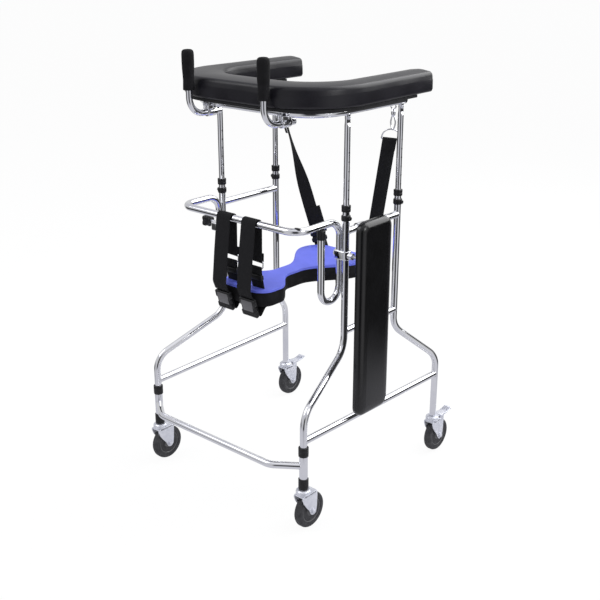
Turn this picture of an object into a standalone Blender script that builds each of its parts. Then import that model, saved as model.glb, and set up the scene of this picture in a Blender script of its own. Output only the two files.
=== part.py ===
"""Wheeled walking frame with a forearm ring, a sling seat and a hinged board.

Metres, +Z up, the floor at Z = 0. The user stands inside the frame and faces -Y, with
+X on one side. The frame opens towards +Y. Every piece that fits to another is drawn
from the same sizes and the named clearance FIT.
"""
import math

import bpy
from mathutils import Matrix, Vector

# Tubes, and the clearance between pieces that touch
TUBE_R = 0.0095
POST_R = 0.0080
POST_WALL = 0.0015
FIT = 0.0003
SIDES = 12

# Where the four uprights stand: index 0 is the front pair, 1 the rear pair
POST_X = 0.226
POST_Y = (-0.058, 0.167)
FOOT_X = (0.281, 0.297)
FOOT_Y = (-0.286, 0.286)
KNEE_LOW_Z = (0.330, 0.315)
KNEE_HIGH_Z = (0.428, 0.425)
KNEE_R = 0.060
LEG_BOTTOM_Z = 0.1215
LEG_TOP_Z = 0.8253
LEG_COLLAR_Z = 0.8087
LEG_COLLAR_R = 0.0120
LEG_BORE_BOTTOM_Z = 0.530

# Bars between the uprights
TOP_BAR_Z = 0.756
MID_BAR_Z = 0.478
LOW_BAR_Z = 0.258
CROSS_Z = 0.1875
CROSS_CORNER = (0.2095, -0.338)
CROSS_BEND_R = 0.045
SLEEVE_R = 0.0112
SLEEVE_TOP_Z = 0.2165
FOOT_COLLAR_R = 0.0135
FOOT_COLLAR_Z = (0.1225, 0.1507)
KNEE_COLLAR_Z = (SLEEVE_TOP_Z + FIT, 0.2424)

# Casters
WHEEL_R = 0.050
WHEEL_HALF = 0.0115
HUB_HALF = 0.0130
TRAIL = 0.022
HEAD_Z = (0.1060, 0.1200)
HEAD_R = 0.020
STEM_R = 0.0050
STEM_TOP_Z = 0.160
CHEEK = (0.0133, 0.0163)
AXLE_R = 0.0049
PEDAL_PIN = (0.031, 0.1110)
PEDAL_PIN_R = 0.0025

# Height posts and the ring that they carry
POST_BOTTOM_Z = 0.700
HOLE_TOP_Z = 0.962
HOLE_PITCH = 0.024
HOLE_COUNT = 6
HOLE_R = 0.0031
CLIP_Z = 0.792
CLIP_HALF = 0.0075
BAND_R = 0.0124
RING_Z = 1.065
RING_FRONT_Y = -0.183
RING_BEND_R = 0.108
RING_END_Y = 0.178

# Forearm pad: its outer line, its inner line and its board
PAD_OUTER = (0.278, -0.238, 0.150)
PAD_INNER = (0.195, -0.135, 0.110)
PAD_END_Y = 0.250
PAD_TOE = 0.008
BASE_END_Y = 0.182
PAD_Z = (1.0823, 1.1383)
BASE_Z = (RING_Z + TUBE_R + FIT, PAD_Z[0] - FIT)
BASE_INSET = 0.003

# Handles
HANDLE_X = 0.130
ROD_R = 0.0085
ROD_Y = (-0.258, -0.150)
ROD_Z = (1.041, 1.195)
ROD_BEND_R = 0.045
GRIP_CAP = 0.011
GRIP_LENGTH = 0.102
GRIP_R = 0.0162

# Guard bar and the knobs that hold it to the front uprights
GUARD_X = 0.205
GUARD_Y = (-0.131, -0.057)
GUARD_LOW_Z = 0.569
GUARD_TOP_Z = 0.782
GUARD_FRONT_Y = -0.225
GUARD_CAP_Z = (0.746, 0.772)
GUARD_BEND_R = 0.042
GUARD_CORNER_R = 0.040
GUARD_LEFT = (0.213, -0.085, 0.655)
KNOB_Z = 0.692
SADDLE_Z = (KNOB_Z - 0.012, KNOB_Z + 0.012)
STUD_R = 0.0040
KNOB_X = (0.2365, 0.2750, 0.2810, 0.2980)

# Sling seat
SEAT_Z = (0.550, 0.590, 0.598)
SEAT_Y = (-0.222, 0.215)
WAIST = 0.026
FRONT_SWELL = (0.058, -0.055, -0.150)
REAR_SWELL = (0.081, -0.005, 0.150)
SEAT_NOSE_R = 0.045
SEAT_TAIL_R = 0.060

# Webbing
WEB = 0.0012
STRAP_X = 0.045
STRAP_HALF = 0.025
TAB_HALF = 0.022
LINK_WIRE_R = 0.0018
LINK_TOP = (-0.208, 0.676)
LINK_LOW = (-0.209, 0.660)
REAR_STRAP_HALF = 0.019
HOOK_AT = (0.203, 0.165)
HOOK_WIRE_R = 0.0020
STAPLE_Z = 1.051
DEE_BAR = (0.190, 0.170, 0.957)
REAR_TAIL_RIGHT = (0.098, 0.2075)
REAR_TAIL_LEFT = (-0.070, 0.2170)

# Hinged board
BOARD_X = (0.300, 0.326)
BOARD_Y = (-0.112, 0.018)
BOARD_Z = (0.268, 0.803)
BOARD_CORNER_R = 0.028
BOARD_EDGE_R = 0.007
BRACKET_Y = 0.002
BRACKET_HALF = 0.014
BRACKET_T = 0.0015

# The whole frame is moved so that its bounding box is centred over the origin
PEDAL_REACH = 0.0860
REACH_FRONT = CROSS_CORNER[1] - TUBE_R
REACH_REAR = FOOT_Y[1] + PEDAL_REACH
REACH_LEFT = -(FOOT_X[1] + 0.021)
SHIFT = Vector((-(BOARD_X[1] + REACH_LEFT) / 2, -(REACH_FRONT + REACH_REAR) / 2, 0))

# Colour, metallic and roughness of each finish
FINISHES = {
    "chrome": ((0.80, 0.81, 0.83), 1.0, 0.08),
    "zinc": ((0.58, 0.60, 0.64), 1.0, 0.28),
    "black_plastic": ((0.020, 0.020, 0.022), 0.0, 0.42),
    "wheel_rubber": ((0.050, 0.050, 0.055), 0.0, 0.50),
    "pad_vinyl": ((0.018, 0.017, 0.021), 0.0, 0.38),
    "board_vinyl": ((0.016, 0.016, 0.019), 0.0, 0.30),
    "base_board": ((0.025, 0.024, 0.026), 0.0, 0.60),
    "grip_foam": ((0.016, 0.016, 0.017), 0.0, 0.75),
    "seat_foam": ((0.015, 0.015, 0.017), 0.0, 0.70),
    "seat_blue": ((0.100, 0.125, 0.680), 0.0, 0.55),
    "webbing": ((0.016, 0.016, 0.018), 0.0, 0.80),
    "buckle": ((0.100, 0.100, 0.108), 0.0, 0.40),
}


def bent(corners, radii, steps=4):
    """Stations (point, direction) of a bent tube. Each inner corner becomes an arc that
    touches both straight runs. Its angle is split into equal steps, so that a right
    angle has the number of steps given."""
    points = [Vector(c) for c in corners]
    stations = [(points[0], (points[1] - points[0]).normalized())]
    for i, radius in enumerate(radii, start=1):
        into = (points[i] - points[i - 1]).normalized()
        away = (points[i + 1] - points[i]).normalized()
        turn = into.angle(away)
        axis = into.cross(away).normalized()
        arm = axis.cross(into) * radius
        centre = points[i] - into * radius * math.tan(turn / 2) + arm
        count = max(2, round(steps * turn / (math.pi / 2)))
        for k in range(count + 1):
            spin = Matrix.Rotation(turn * k / count, 3, axis)
            place = centre - spin @ arm
            if (place - stations[-1][0]).length > 1e-5:
                stations.append((place, spin @ into))
    stations.append((points[-1], (points[-1] - points[-2]).normalized()))
    return stations


def frames(stations, side):
    """Each station with two directions across the tube, carried along without twist."""
    across = Vector(side)
    last = stations[0][1]
    out = []
    for place, along in stations:
        across = last.rotation_difference(along) @ across
        across = (across - along * across.dot(along)).normalized()
        out.append((place, across, along.cross(across)))
        last = along
    return out


def raised(frame, dz):
    """The same frame at another height."""
    return (frame[0] + Vector((0, 0, dz)), frame[1], frame[2])


def ring(frame, radius, sides=SIDES):
    """A regular ring of points with a flat towards each of the frame's directions."""
    place, u, v = frame
    angles = [2 * math.pi * (k + 0.5) / sides for k in range(sides)]
    return [place + (u * math.cos(a) + v * math.sin(a)) * radius for a in angles]


def blunt_rectangle(frame, half_u, half_v, chamfer):
    """An eight-sided ring: a rectangle whose corners are cut by the chamfer."""
    place, u, v = frame
    a, b = half_u - chamfer, half_v - chamfer
    pairs = [(half_u, -b), (half_u, b), (a, half_v), (-a, half_v),
             (-half_u, b), (-half_u, -b), (-a, -half_v), (a, -half_v)]
    return [place + u * p + v * q for p, q in pairs]


def rectangle(frame, half_u, half_v):
    """A four-sided ring: the section of a strap."""
    place, u, v = frame
    return [place + u * half_u * p + v * half_v * q
            for p, q in [(1, -1), (1, 1), (-1, 1), (-1, -1)]]


def skin(rings, loop=False):
    """Joins rings of equal count with quads. The two ends are closed by a face each,
    unless the skin is a loop that returns to its first ring."""
    count = len(rings[0])
    verts = [p for points in rings for p in points]
    faces = []
    for i in range(len(rings) if loop else len(rings) - 1):
        a, b = i * count, (i + 1) % len(rings) * count
        for k in range(count):
            n = (k + 1) % count
            faces.append((a + k, a + n, b + n, b + k))
    if not loop:
        faces.append(tuple(range(count))[::-1])
        faces.append(tuple(range(len(verts) - count, len(verts))))
    return verts, faces


def upright_frame(x, y, z=0.0):
    """A frame on a vertical axis, with its directions along X and Y."""
    return (Vector((x, y, z)), Vector((1, 0, 0)), Vector((0, 1, 0)))


def turned(axis, origin, profile, sides=SIDES, loop=False):
    """A turned piece. The profile is a list of (distance along the axis, radius)."""
    along = {"x": Vector((1, 0, 0)), "y": Vector((0, 1, 0)), "z": Vector((0, 0, 1))}[axis]
    u = {"x": Vector((0, 1, 0)), "y": Vector((0, 0, 1)), "z": Vector((1, 0, 0))}[axis]
    v = along.cross(u)
    start = Vector(origin)
    return skin([ring((start + along * d, u, v), r, sides) for d, r in profile], loop)


def clearance(radius, sides=16):
    """Radius of a many-sided cutter whose flats stand FIT clear of a round piece."""
    return (radius + FIT) / math.cos(math.pi / sides)


def block(low, high):
    """A plain block between two corners."""
    (x0, y0, z0), (x1, y1, z1) = low, high
    return skin([[Vector((x, y0, z0)), Vector((x, y1, z0)),
                  Vector((x, y1, z1)), Vector((x, y0, z1))] for x in (x0, x1)])


def prism(outline, half, x=0.0):
    """A plate with a (y, z) outline, spread evenly to both sides of x."""
    return skin([[Vector((x + s, y, z)) for y, z in outline] for s in (-half, half)])


def mesh_object(name, form, pivot):
    """An object whose origin is at the pivot and whose mesh is the form."""
    verts, faces = form
    origin = Vector(pivot)
    mesh = bpy.data.meshes.new(name)
    mesh.from_pydata([v - origin for v in verts], [], faces)
    mesh.validate()
    mesh.shade_smooth()
    mesh.set_sharp_from_angle(angle=math.radians(40))
    obj = bpy.data.objects.new(name, mesh)
    obj.location = origin + SHIFT
    bpy.context.collection.objects.link(obj)
    return obj


def node(name, form, finish, pivot=(0, 0, 0), add=(), cut=()):
    """One piece of the frame with its own material. Forms in add are joined to it and
    forms in cut are taken away, each by a Boolean with a wire helper."""
    obj = mesh_object(name, form, pivot)
    colour, metallic, roughness = FINISHES[finish]
    material = bpy.data.materials.new(name)
    material.use_nodes = True
    shader = material.node_tree.nodes["Principled BSDF"]
    shader.inputs["Base Color"].default_value = (*colour, 1)
    shader.inputs["Metallic"].default_value = metallic
    shader.inputs["Roughness"].default_value = roughness
    obj.data.materials.append(material)
    jobs = [("UNION", f) for f in add] + [("DIFFERENCE", f) for f in cut]
    for i, (operation, helper_form) in enumerate(jobs):
        helper = mesh_object(f"{name}_helper_{i}", helper_form, pivot)
        helper.display_type = "WIRE"
        helper.hide_render = True
        modifier = obj.modifiers.new(f"{operation.lower()}_{i}", "BOOLEAN")
        modifier.operation = operation
        modifier.solver = "EXACT"
        modifier.object = helper
    return obj


def leg(name, side, end):
    """A bent leg: bored for the caster stem below and for the height post above, with
    a collar round its top, a moulded band for the spring clip, and on the front pair a
    collar that sits on the crossbar's sleeve. The clip's hole goes through the outer wall
    and the band."""
    x0, y0 = FOOT_X[end] * side, FOOT_Y[end]
    x1, y1 = POST_X * side, POST_Y[end]
    path = frames(bent([(x0, y0, LEG_BOTTOM_Z), (x0, y0, KNEE_LOW_Z[end]),
                        (x1, y1, KNEE_HIGH_Z[end]), (x1, y1, LEG_TOP_Z)],
                       [KNEE_R, KNEE_R], 4), (1, 0, 0))
    foot, head = path[0], path[-1]
    stem_bore = STEM_R + 2 * FIT
    rings = [ring(raised(foot, STEM_TOP_Z + 0.006 - LEG_BOTTOM_Z), stem_bore),
             ring(foot, stem_bore), ring(foot, TUBE_R)]
    if end == 0:
        for z, r in [(KNEE_COLLAR_Z[0], TUBE_R), (KNEE_COLLAR_Z[0], FOOT_COLLAR_R),
                     (KNEE_COLLAR_Z[1], FOOT_COLLAR_R), (KNEE_COLLAR_Z[1], TUBE_R)]:
            rings.append(ring(raised(foot, z - LEG_BOTTOM_Z), r))
    rings += [ring(f, TUBE_R) for f in path[1:-1]]
    for z, r in [(CLIP_Z - CLIP_HALF, TUBE_R), (CLIP_Z - CLIP_HALF, BAND_R),
                 (CLIP_Z + CLIP_HALF, BAND_R), (CLIP_Z + CLIP_HALF, TUBE_R)]:
        rings.append(ring(raised(head, z - LEG_TOP_Z), r))
    collar = raised(head, LEG_COLLAR_Z - LEG_TOP_Z)
    rings += [ring(collar, TUBE_R), ring(collar, LEG_COLLAR_R), ring(head, LEG_COLLAR_R),
              ring(head, POST_R + FIT),
              ring(raised(head, LEG_BORE_BOTTOM_Z - LEG_TOP_Z), POST_R + FIT)]
    drill = turned("x", (x1, y1, CLIP_Z),
                   [(d, HOLE_R + FIT) for d in sorted((0.004 * side, 0.020 * side))], 8)
    node(name, skin(rings), "chrome", cut=[drill])


def coped_bar(name, start, finish_at):
    """A straight tube between two upright tubes, its ends hollowed to fit round them."""
    path = frames([(Vector(start), (Vector(finish_at) - Vector(start)).normalized()),
                   (Vector(finish_at), (Vector(finish_at) - Vector(start)).normalized())],
                  (0, 0, 1))
    mouths = [turned("z", (p[0], p[1], p[2] - 0.03),
                     [(0, clearance(TUBE_R)), (0.06, clearance(TUBE_R))], 16)
              for p in (start, finish_at)]
    node(name, skin([ring(f, TUBE_R) for f in path]), "chrome", cut=mouths)


def crossbar():
    """The front crossbar: one bent tube welded to a sleeve at each front foot. Each
    sleeve has a wider collar at its lower end, and the leg stands inside it."""
    x, y = FOOT_X[0], FOOT_Y[0]
    cx, cy = CROSS_CORNER
    path = frames(bent([(x, y, CROSS_Z), (cx, cy, CROSS_Z), (-cx, cy, CROSS_Z),
                        (-x, y, CROSS_Z)], [CROSS_BEND_R] * 2, 7), (0, 0, 1))
    profile = [(FOOT_COLLAR_Z[0], FOOT_COLLAR_R), (FOOT_COLLAR_Z[1], FOOT_COLLAR_R),
               (FOOT_COLLAR_Z[1], SLEEVE_R), (SLEEVE_TOP_Z, SLEEVE_R)]
    sleeves = [turned("z", (s * x, y, 0), profile, SIDES) for s in (1, -1)]
    bore = TUBE_R + FIT
    bores = [turned("z", (s * x, y, 0), [(0.10, bore), (0.24, bore)], SIDES)
             for s in (1, -1)]
    node("crossbar", skin([ring(f, TUBE_R) for f in path]), "chrome",
         add=sleeves, cut=bores)


def caster(label, side, end):
    """A swivel caster that trails towards +Y: fork, wheel and axle, and on the rear
    pair a brake pedal on its own pin. The swivel axis is the leg's lower axis."""
    x, y = FOOT_X[end] * side, FOOT_Y[end]
    top = HEAD_Z[0]
    outline = [(-0.019, top), (-0.020, 0.099), (-0.015, 0.085), (-0.005, 0.070),
               (0.006, 0.057), (0.011, 0.046), (0.016, 0.040), (0.022, 0.038),
               (0.029, 0.0405), (0.034, 0.047), (0.036, 0.060), (0.038, 0.090)]
    if end == 1:
        outline += [(0.038, 0.117), (0.0255, 0.117), (0.0215, top)]
    else:
        outline += [(0.038, top)]
    cheeks = prism([(y + u, z) for u, z in outline], CHEEK[1], x)
    head = turned("z", (x, y, 0), [(top - 0.001, HEAD_R - 0.002), (HEAD_Z[1] - 0.004, HEAD_R),
                                   (HEAD_Z[1], HEAD_R - 0.003), (HEAD_Z[1], STEM_R),
                                   (STEM_TOP_Z, STEM_R)])
    pocket = block((x - CHEEK[0], y - 0.03, 0.02), (x + CHEEK[0], y + 0.05, 0.1023))
    hub = (x, y + TRAIL, WHEEL_R)
    hole = turned("x", hub, [(-0.03, clearance(AXLE_R, 12)), (0.03, clearance(AXLE_R, 12))])
    cuts = [pocket, hole]
    pin = (x, y + PEDAL_PIN[0], PEDAL_PIN[1])
    if end == 1:
        cuts.append(block((x - CHEEK[0], y + 0.0235, 0.09), (x + CHEEK[0], y + 0.05, 0.13)))
        cuts.append(turned("x", pin, [(-0.03, clearance(PEDAL_PIN_R, 8)),
                                      (0.03, clearance(PEDAL_PIN_R, 8))], 8))
    node(f"caster_fork_{label}", cheeks, "zinc", pivot=(x, y, top), add=[head], cut=cuts)

    rim = 1 / math.cos(math.pi / 24)
    profile = [(-HUB_HALF, 0.0055), (-HUB_HALF, 0.014), (-WHEEL_HALF, 0.016),
               (-WHEEL_HALF, 0.045), (-0.008, WHEEL_R), (0.008, WHEEL_R),
               (WHEEL_HALF, 0.045), (WHEEL_HALF, 0.016), (HUB_HALF, 0.014),
               (HUB_HALF, 0.0055)]
    node(f"wheel_{label}", turned("x", hub, [(d, r * rim) for d, r in profile], 24, True),
         "wheel_rubber", pivot=hub)

    face = CHEEK[1] + FIT
    node(f"axle_{label}", turned("x", hub, [(-face - 0.0044, 0.0065), (-face, 0.0080),
                                            (-face, AXLE_R), (face, AXLE_R),
                                            (face, 0.0080), (face + 0.0044, 0.0065)]),
         "zinc", pivot=hub)

    if end == 1:
        plate = [(0.0265, 0.1085), (0.0335, 0.1020), (0.0385, 0.1020), (0.042, 0.1080),
                 (0.058, 0.1095), (0.073, 0.1115), (PEDAL_REACH, 0.1160), (0.085, 0.1190),
                 (0.072, 0.1147), (0.057, 0.1127), (0.034, 0.1155), (0.0265, 0.1140)]
        lever = prism([(y + u, z) for u, z in plate], CHEEK[0] - 0.0005, x)
        reach = CHEEK[1] - FIT
        node(f"brake_pedal_{label}", lever, "zinc", pivot=pin,
             add=[turned("x", pin, [(-reach, PEDAL_PIN_R), (reach, PEDAL_PIN_R)], 8)])


def post(name, side, end):
    """A height post: a thinner tube that slides in the leg, drilled with a row of holes
    for the spring clip, its top hollowed to fit under the ring."""
    x, y = POST_X * side, POST_Y[end]
    inner = POST_R - POST_WALL
    tube = [ring(upright_frame(x, y, z), r) for z, r in
            [(POST_BOTTOM_Z, POST_R), (RING_Z - 0.003, POST_R),
             (RING_Z - 0.003, inner), (POST_BOTTOM_Z, inner)]]
    holes = [turned("x", (x, y, HOLE_TOP_Z - i * HOLE_PITCH),
                    [(-0.012, HOLE_R), (0.012, HOLE_R)], 6) for i in range(HOLE_COUNT)]
    mouth = turned("y", (x, y - 0.02, RING_Z), [(0, clearance(TUBE_R)),
                                                (0.04, clearance(TUBE_R))], 16)
    node(name, skin(tube, loop=True), "chrome", cut=[mouth] + holes)


def ring_path():
    """The line of the tube under the forearm pad."""
    return frames(bent([(POST_X, RING_END_Y, RING_Z), (POST_X, RING_FRONT_Y, RING_Z),
                        (-POST_X, RING_FRONT_Y, RING_Z), (-POST_X, RING_END_Y, RING_Z)],
                       [RING_BEND_R] * 2, 6), (0, 0, 1))


def arm_ring():
    """The U-shaped tube under the forearm pad, with a plug in each open end."""
    path = ring_path()

    def moved(frame, dy):
        return (frame[0] + Vector((0, dy, 0)), frame[1], frame[2])

    plug = TUBE_R + 0.0004
    start, stop = path[0], path[-1]
    rings = [ring(moved(start, 0.007), TUBE_R - 0.002), ring(moved(start, 0.005), plug),
             ring(start, plug)] + [ring(f, TUBE_R) for f in path]
    rings += [ring(stop, plug), ring(moved(stop, 0.005), plug),
              ring(moved(stop, 0.007), TUBE_R - 0.002)]
    node("arm_ring", skin(rings), "chrome")


def u_line(half_width, front_y, radius, end_y, inset=0.0):
    """Points along a U that is open towards +Y: an arm, a rounded corner, the front
    run, and the same again mirrored. The arms close in a little towards their ends, and
    the inset moves the line sideways."""
    w, f, r = half_width - inset, front_y + inset, radius - inset
    toe = PAD_TOE * (end_y - f - r) / (PAD_END_Y - f - r)
    arm = [Vector((w - toe * (1 - k / 4), end_y + (f + r - end_y) * k / 4, 0))
           for k in range(4)]
    arc = [Vector((w - r + r * math.cos(a), f + r - r * math.sin(a), 0))
           for a in [math.pi / 2 * k / 7 for k in range(8)]]
    half = arm + arc
    return half + [Vector((0, f, 0))] + [Vector((-p.x, p.y, 0)) for p in reversed(half)]


def pad_base():
    """The board under the pad, with a wire staple below each arm for the rear hooks."""
    outer = u_line(*PAD_OUTER, BASE_END_Y, BASE_INSET)
    inner = u_line(*PAD_INNER, BASE_END_Y, -BASE_INSET)
    low, high = BASE_Z
    rings = []
    for p, q in zip(outer, inner):
        rings.append([Vector((p.x, p.y, low)), Vector((p.x, p.y, high)),
                      Vector((q.x, q.y, high)), Vector((q.x, q.y, low))])
    staples = []
    for side in (1, -1):
        x, y = HOOK_AT[0] * side, HOOK_AT[1]
        path = bent([(x, y - 0.009, low + 0.003), (x, y - 0.009, STAPLE_Z),
                     (x, y + 0.009, STAPLE_Z), (x, y + 0.009, low + 0.003)],
                    [0.005, 0.005], 3)
        staples.append(skin([ring(f, HOOK_WIRE_R, 8) for f in frames(path, (1, 0, 0))]))
    node("pad_base", skin(rings), "base_board", add=staples)


def forearm_pad():
    """The padded U. Its section is crowned, its sides draw in towards the board, and
    both ends close with a small round."""
    outer = u_line(*PAD_OUTER, PAD_END_Y - 0.008)
    inner = u_line(*PAD_INNER, PAD_END_Y - 0.008)
    pairs = list(zip(outer, inner))
    stations = [(p, q, 0.0) for p, q in pairs]

    def shifted(pair, dy):
        return pair[0] + Vector((0, dy, 0)), pair[1] + Vector((0, dy, 0))

    ends = [(0.008, 0.006), (0.006, 0.0025), (0.002, 0.0005)]
    stations = ([(*shifted(pairs[0], dy), inset) for dy, inset in ends] + stations
                + [(*shifted(pairs[-1], dy), inset) for dy, inset in reversed(ends)])
    low, high = PAD_Z
    tall = high - low
    half_section = [(0.004, 0.0), (0.0, 0.25), (0.0, 0.62), (0.006, 0.85), (0.020, 0.965)]
    rings = []
    for p, q, inset in stations:
        across = p - q
        width = across.length
        across.normalize()
        points = [(d, z) for d, z in half_section]
        points.append((width / 2, 1.0))
        points += [(width - d, z) for d, z in reversed(half_section)]
        section = []
        for d, z in points:
            d = inset + d * (width - 2 * inset) / width
            section.append(q + across * d + Vector((0, 0, low + z * (tall - inset * 1.2))))
        rings.append(section[::-1])
    node("forearm_pad", skin(rings), "pad_vinyl")


def handle(label, side):
    """A handle: a bent rod that slides in its clamp, with a moulded grip over its top.
    The clamp hugs the rod and sits under the ring's front run."""
    x = HANDLE_X * side
    back, low, top = ROD_Y[1], ROD_Z[0], ROD_Z[1]
    path = frames(bent([(x, back, low), (x, ROD_Y[0], low), (x, ROD_Y[0], top)],
                       [ROD_BEND_R], 6), (1, 0, 0))
    end = path[0]
    inside = (end[0] - Vector((0, 0.022, 0)), end[1], end[2])
    bore = ROD_R - POST_WALL
    rings = [ring(inside, bore), ring(end, bore)] + [ring(f, ROD_R) for f in path]
    node(f"handle_rod_{label}", skin(rings), "chrome", pivot=(x, back, low))

    z1 = top + GRIP_CAP
    z0 = z1 - GRIP_LENGTH
    profile = [(top + 0.001, ROD_R + FIT), (z0, ROD_R + FIT), (z0, 0.0135),
               (z0 + 0.004, 0.0150), (z0 + 0.045, GRIP_R), (z1 - 0.016, GRIP_R),
               (z1 - 0.004, 0.0140), (z1, 0.0090)]
    node(f"grip_{label}", turned("z", (x, ROD_Y[0], 0), profile), "grip_foam",
         pivot=(x, back, low))

    half = 0.0125
    body = block((x - half, -0.2000, low - 0.0125), (x + half, -0.1680, 1.0610))
    screw = turned("z", (x, -0.2040, 0), [(1.046, 0.0060), (1.066, 0.0060), (1.0715, 0.0045)])
    rod_bore = turned("y", (x, -0.24, low), [(0, clearance(ROD_R)), (0.1, clearance(ROD_R))], 16)
    ring_seat = skin([ring(f, TUBE_R + 2 * FIT) for f in ring_path()])
    node(f"handle_clamp_{label}", body, "chrome", add=[screw], cut=[rod_bore, ring_seat])


def spring_clip(label, side, end):
    """A spring clip: a thumb button outside the leg's band, on a pin that locks in the
    leg's wall. The whole clip slides outwards."""
    x, y = POST_X * side, POST_Y[end]
    face = BAND_R + FIT
    profile = [(POST_R + 2 * FIT, HOLE_R - FIT), (face, HOLE_R - FIT), (face, 0.0050),
               (face + 0.0030, 0.0050), (face + 0.0042, 0.0036)]
    node(f"spring_clip_{label}",
         turned("x", (x, y, CLIP_Z), [(side * d, r) for d, r in profile][::side], 8),
         "black_plastic", pivot=(x, y, CLIP_Z))


def guard_bar():
    """The guard bar across the front: a single tube with a capped hairpin on the right, a
    plain run down on the left, and a moulded saddle that grips each front upright."""
    y0, y1 = GUARD_Y
    left_x, left_y, left_end = GUARD_LEFT
    corners = [(GUARD_X, y0, GUARD_CAP_Z[1]), (GUARD_X, y0, GUARD_LOW_Z),
               (GUARD_X, y1, GUARD_LOW_Z), (GUARD_X, y1, GUARD_TOP_Z),
               (GUARD_X, GUARD_FRONT_Y, GUARD_TOP_Z), (-left_x, GUARD_FRONT_Y, GUARD_TOP_Z),
               (-left_x, left_y, GUARD_TOP_Z), (-left_x, left_y, left_end)]
    hairpin_r = (y1 - y0) / 2
    radii = [hairpin_r, hairpin_r, GUARD_BEND_R, GUARD_CORNER_R, GUARD_CORNER_R, GUARD_BEND_R]
    path = frames(bent(corners, radii, 4), (1, 0, 0))
    start, drop, cap_r = path[0], GUARD_CAP_Z[0] - GUARD_CAP_Z[1], TUBE_R + 0.0015
    rings = [ring(start, cap_r - 0.003), ring(raised(start, -0.002), cap_r),
             ring(raised(start, drop), cap_r), ring(raised(start, drop), TUBE_R)]
    rings += [ring(f, TUBE_R) for f in path[1:]]
    saddles, cuts = [], []
    for side, run_x, run_y in ((1, GUARD_X, y1), (-1, left_x, left_y)):
        post_at = (POST_X * side, POST_Y[0])
        half_x = (POST_X - run_x) / 2 + TUBE_R + 0.0035
        half_y = abs(run_y - POST_Y[0]) / 2 + 0.0135
        hub = upright_frame((run_x + POST_X) / 2 * side, (run_y + POST_Y[0]) / 2, SADDLE_Z[0])
        saddles.append(skin([blunt_rectangle(raised(hub, dz), half_x, half_y, 0.006)
                             for dz in (0, SADDLE_Z[1] - SADDLE_Z[0])]))
        boss = sorted((POST_X * side, (POST_X + 0.0250) * side))
        saddles.append(turned("x", (0, POST_Y[0], KNOB_Z), [(d, 0.0085) for d in boss]))
        bore = sorted((POST_X * side, (POST_X + 0.0300) * side))
        cuts.append(turned("z", (*post_at, 0), [(SADDLE_Z[0] - 0.02, clearance(TUBE_R)),
                                                (SADDLE_Z[1] + 0.02, clearance(TUBE_R))], 16))
        cuts.append(turned("x", (0, POST_Y[0], KNOB_Z),
                           [(d, clearance(STUD_R, 12)) for d in bore]))
    node("guard_bar", skin(rings), "chrome", add=saddles, cut=cuts)


def star_knob(label, side):
    """A clamp knob with five lobes on a steel stud."""
    origin = (0, POST_Y[0], KNOB_Z)
    x0, x1, x2, x3 = KNOB_X
    lobes, count = 5, 20

    def star(x, radius, depth):
        points = []
        for k in range(count):
            a = 2 * math.pi * k / count
            r = radius - depth * (1 - math.cos(lobes * a)) / 2
            points.append(Vector((x, POST_Y[0] + r * math.cos(a), KNOB_Z + r * math.sin(a))))
        return points

    rings = [star(x0, STUD_R, 0), star(x1, STUD_R, 0), star(x1, 0.0090, 0),
             star(x2, 0.0105, 0), star(x2 + 0.001, 0.0200, 0.0050),
             star(x2 + 0.004, 0.0214, 0.0054), star(x3 - 0.003, 0.0214, 0.0054),
             star(x3, 0.0185, 0.0042)]
    if side < 0:
        rings = [[Vector((-p.x, p.y, p.z)) for p in points] for points in rings][::-1]
    node(f"star_knob_{label}", skin(rings), "black_plastic",
         pivot=(x0 * side, origin[1], origin[2]))


def seat_outline(inset=0.0, per_side=22):
    """The saddle-shaped outline of the seat, as (x, y) points. Its half width is the
    waist plus two smooth swells, and each end is closed by a round."""
    def swell(y, size, start, stop):
        t = min(1.0, max(0.0, (y - start) / (stop - start)))
        return size * t * t * (3 - 2 * t)

    def closed(distance, radius):
        if distance >= radius:
            return 0.0
        return radius - math.sqrt(max(0.0, radius ** 2 - (radius - distance) ** 2))

    front, rear = SEAT_Y[0] + inset, SEAT_Y[1] - inset
    half = []
    for k in range(per_side + 1):
        t = k / per_side
        y = (front + rear) / 2 - (rear - front) / 2 * math.cos(math.pi * t)
        w = WAIST + swell(y, *FRONT_SWELL) + swell(y, *REAR_SWELL)
        w -= closed(y - front, SEAT_NOSE_R) + closed(rear - y, SEAT_TAIL_R)
        half.append((w - inset, y))
    return half + [(-x, y) for x, y in reversed(half)]


def seat():
    """The seat: a black foam body with a thinner blue layer on top. Two webbing tabs
    rise from the body through slots in the blue layer to the front links."""
    low, split, top = SEAT_Z

    def level(z, inset):
        return [Vector((x, y, z)) for x, y in seat_outline(inset)]

    tabs, slots = [], []
    loop_r = LINK_WIRE_R + FIT + WEB
    y, z = LINK_LOW
    for side in (1, -1):
        x = STRAP_X * side
        path = bent([(x, y + loop_r, split - 0.012), (x, y + loop_r, z + loop_r),
                     (x, y - loop_r, z + loop_r), (x, y - loop_r, z - 0.018)],
                    [loop_r, loop_r], 3)
        tabs.append(skin([rectangle(f, TAB_HALF, WEB) for f in frames(path, (1, 0, 0))]))
        slots.append(block((x - TAB_HALF - 0.001, y + loop_r - WEB - 0.0006, split - 0.01),
                           (x + TAB_HALF + 0.001, y + loop_r + WEB + 0.0006, top + 0.01)))
    body = [level(low, 0.005), level(low + 0.005, 0.0005), level(split - FIT, 0.0)]
    node("seat_base", skin(body), "seat_foam", add=tabs)
    cushion = [level(split, 0.0), level(top - 0.0025, 0.0), level(top - 0.0006, 0.0015),
               level(top, 0.0045)]
    node("seat_cushion", skin(cushion), "seat_blue", cut=slots)


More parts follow.
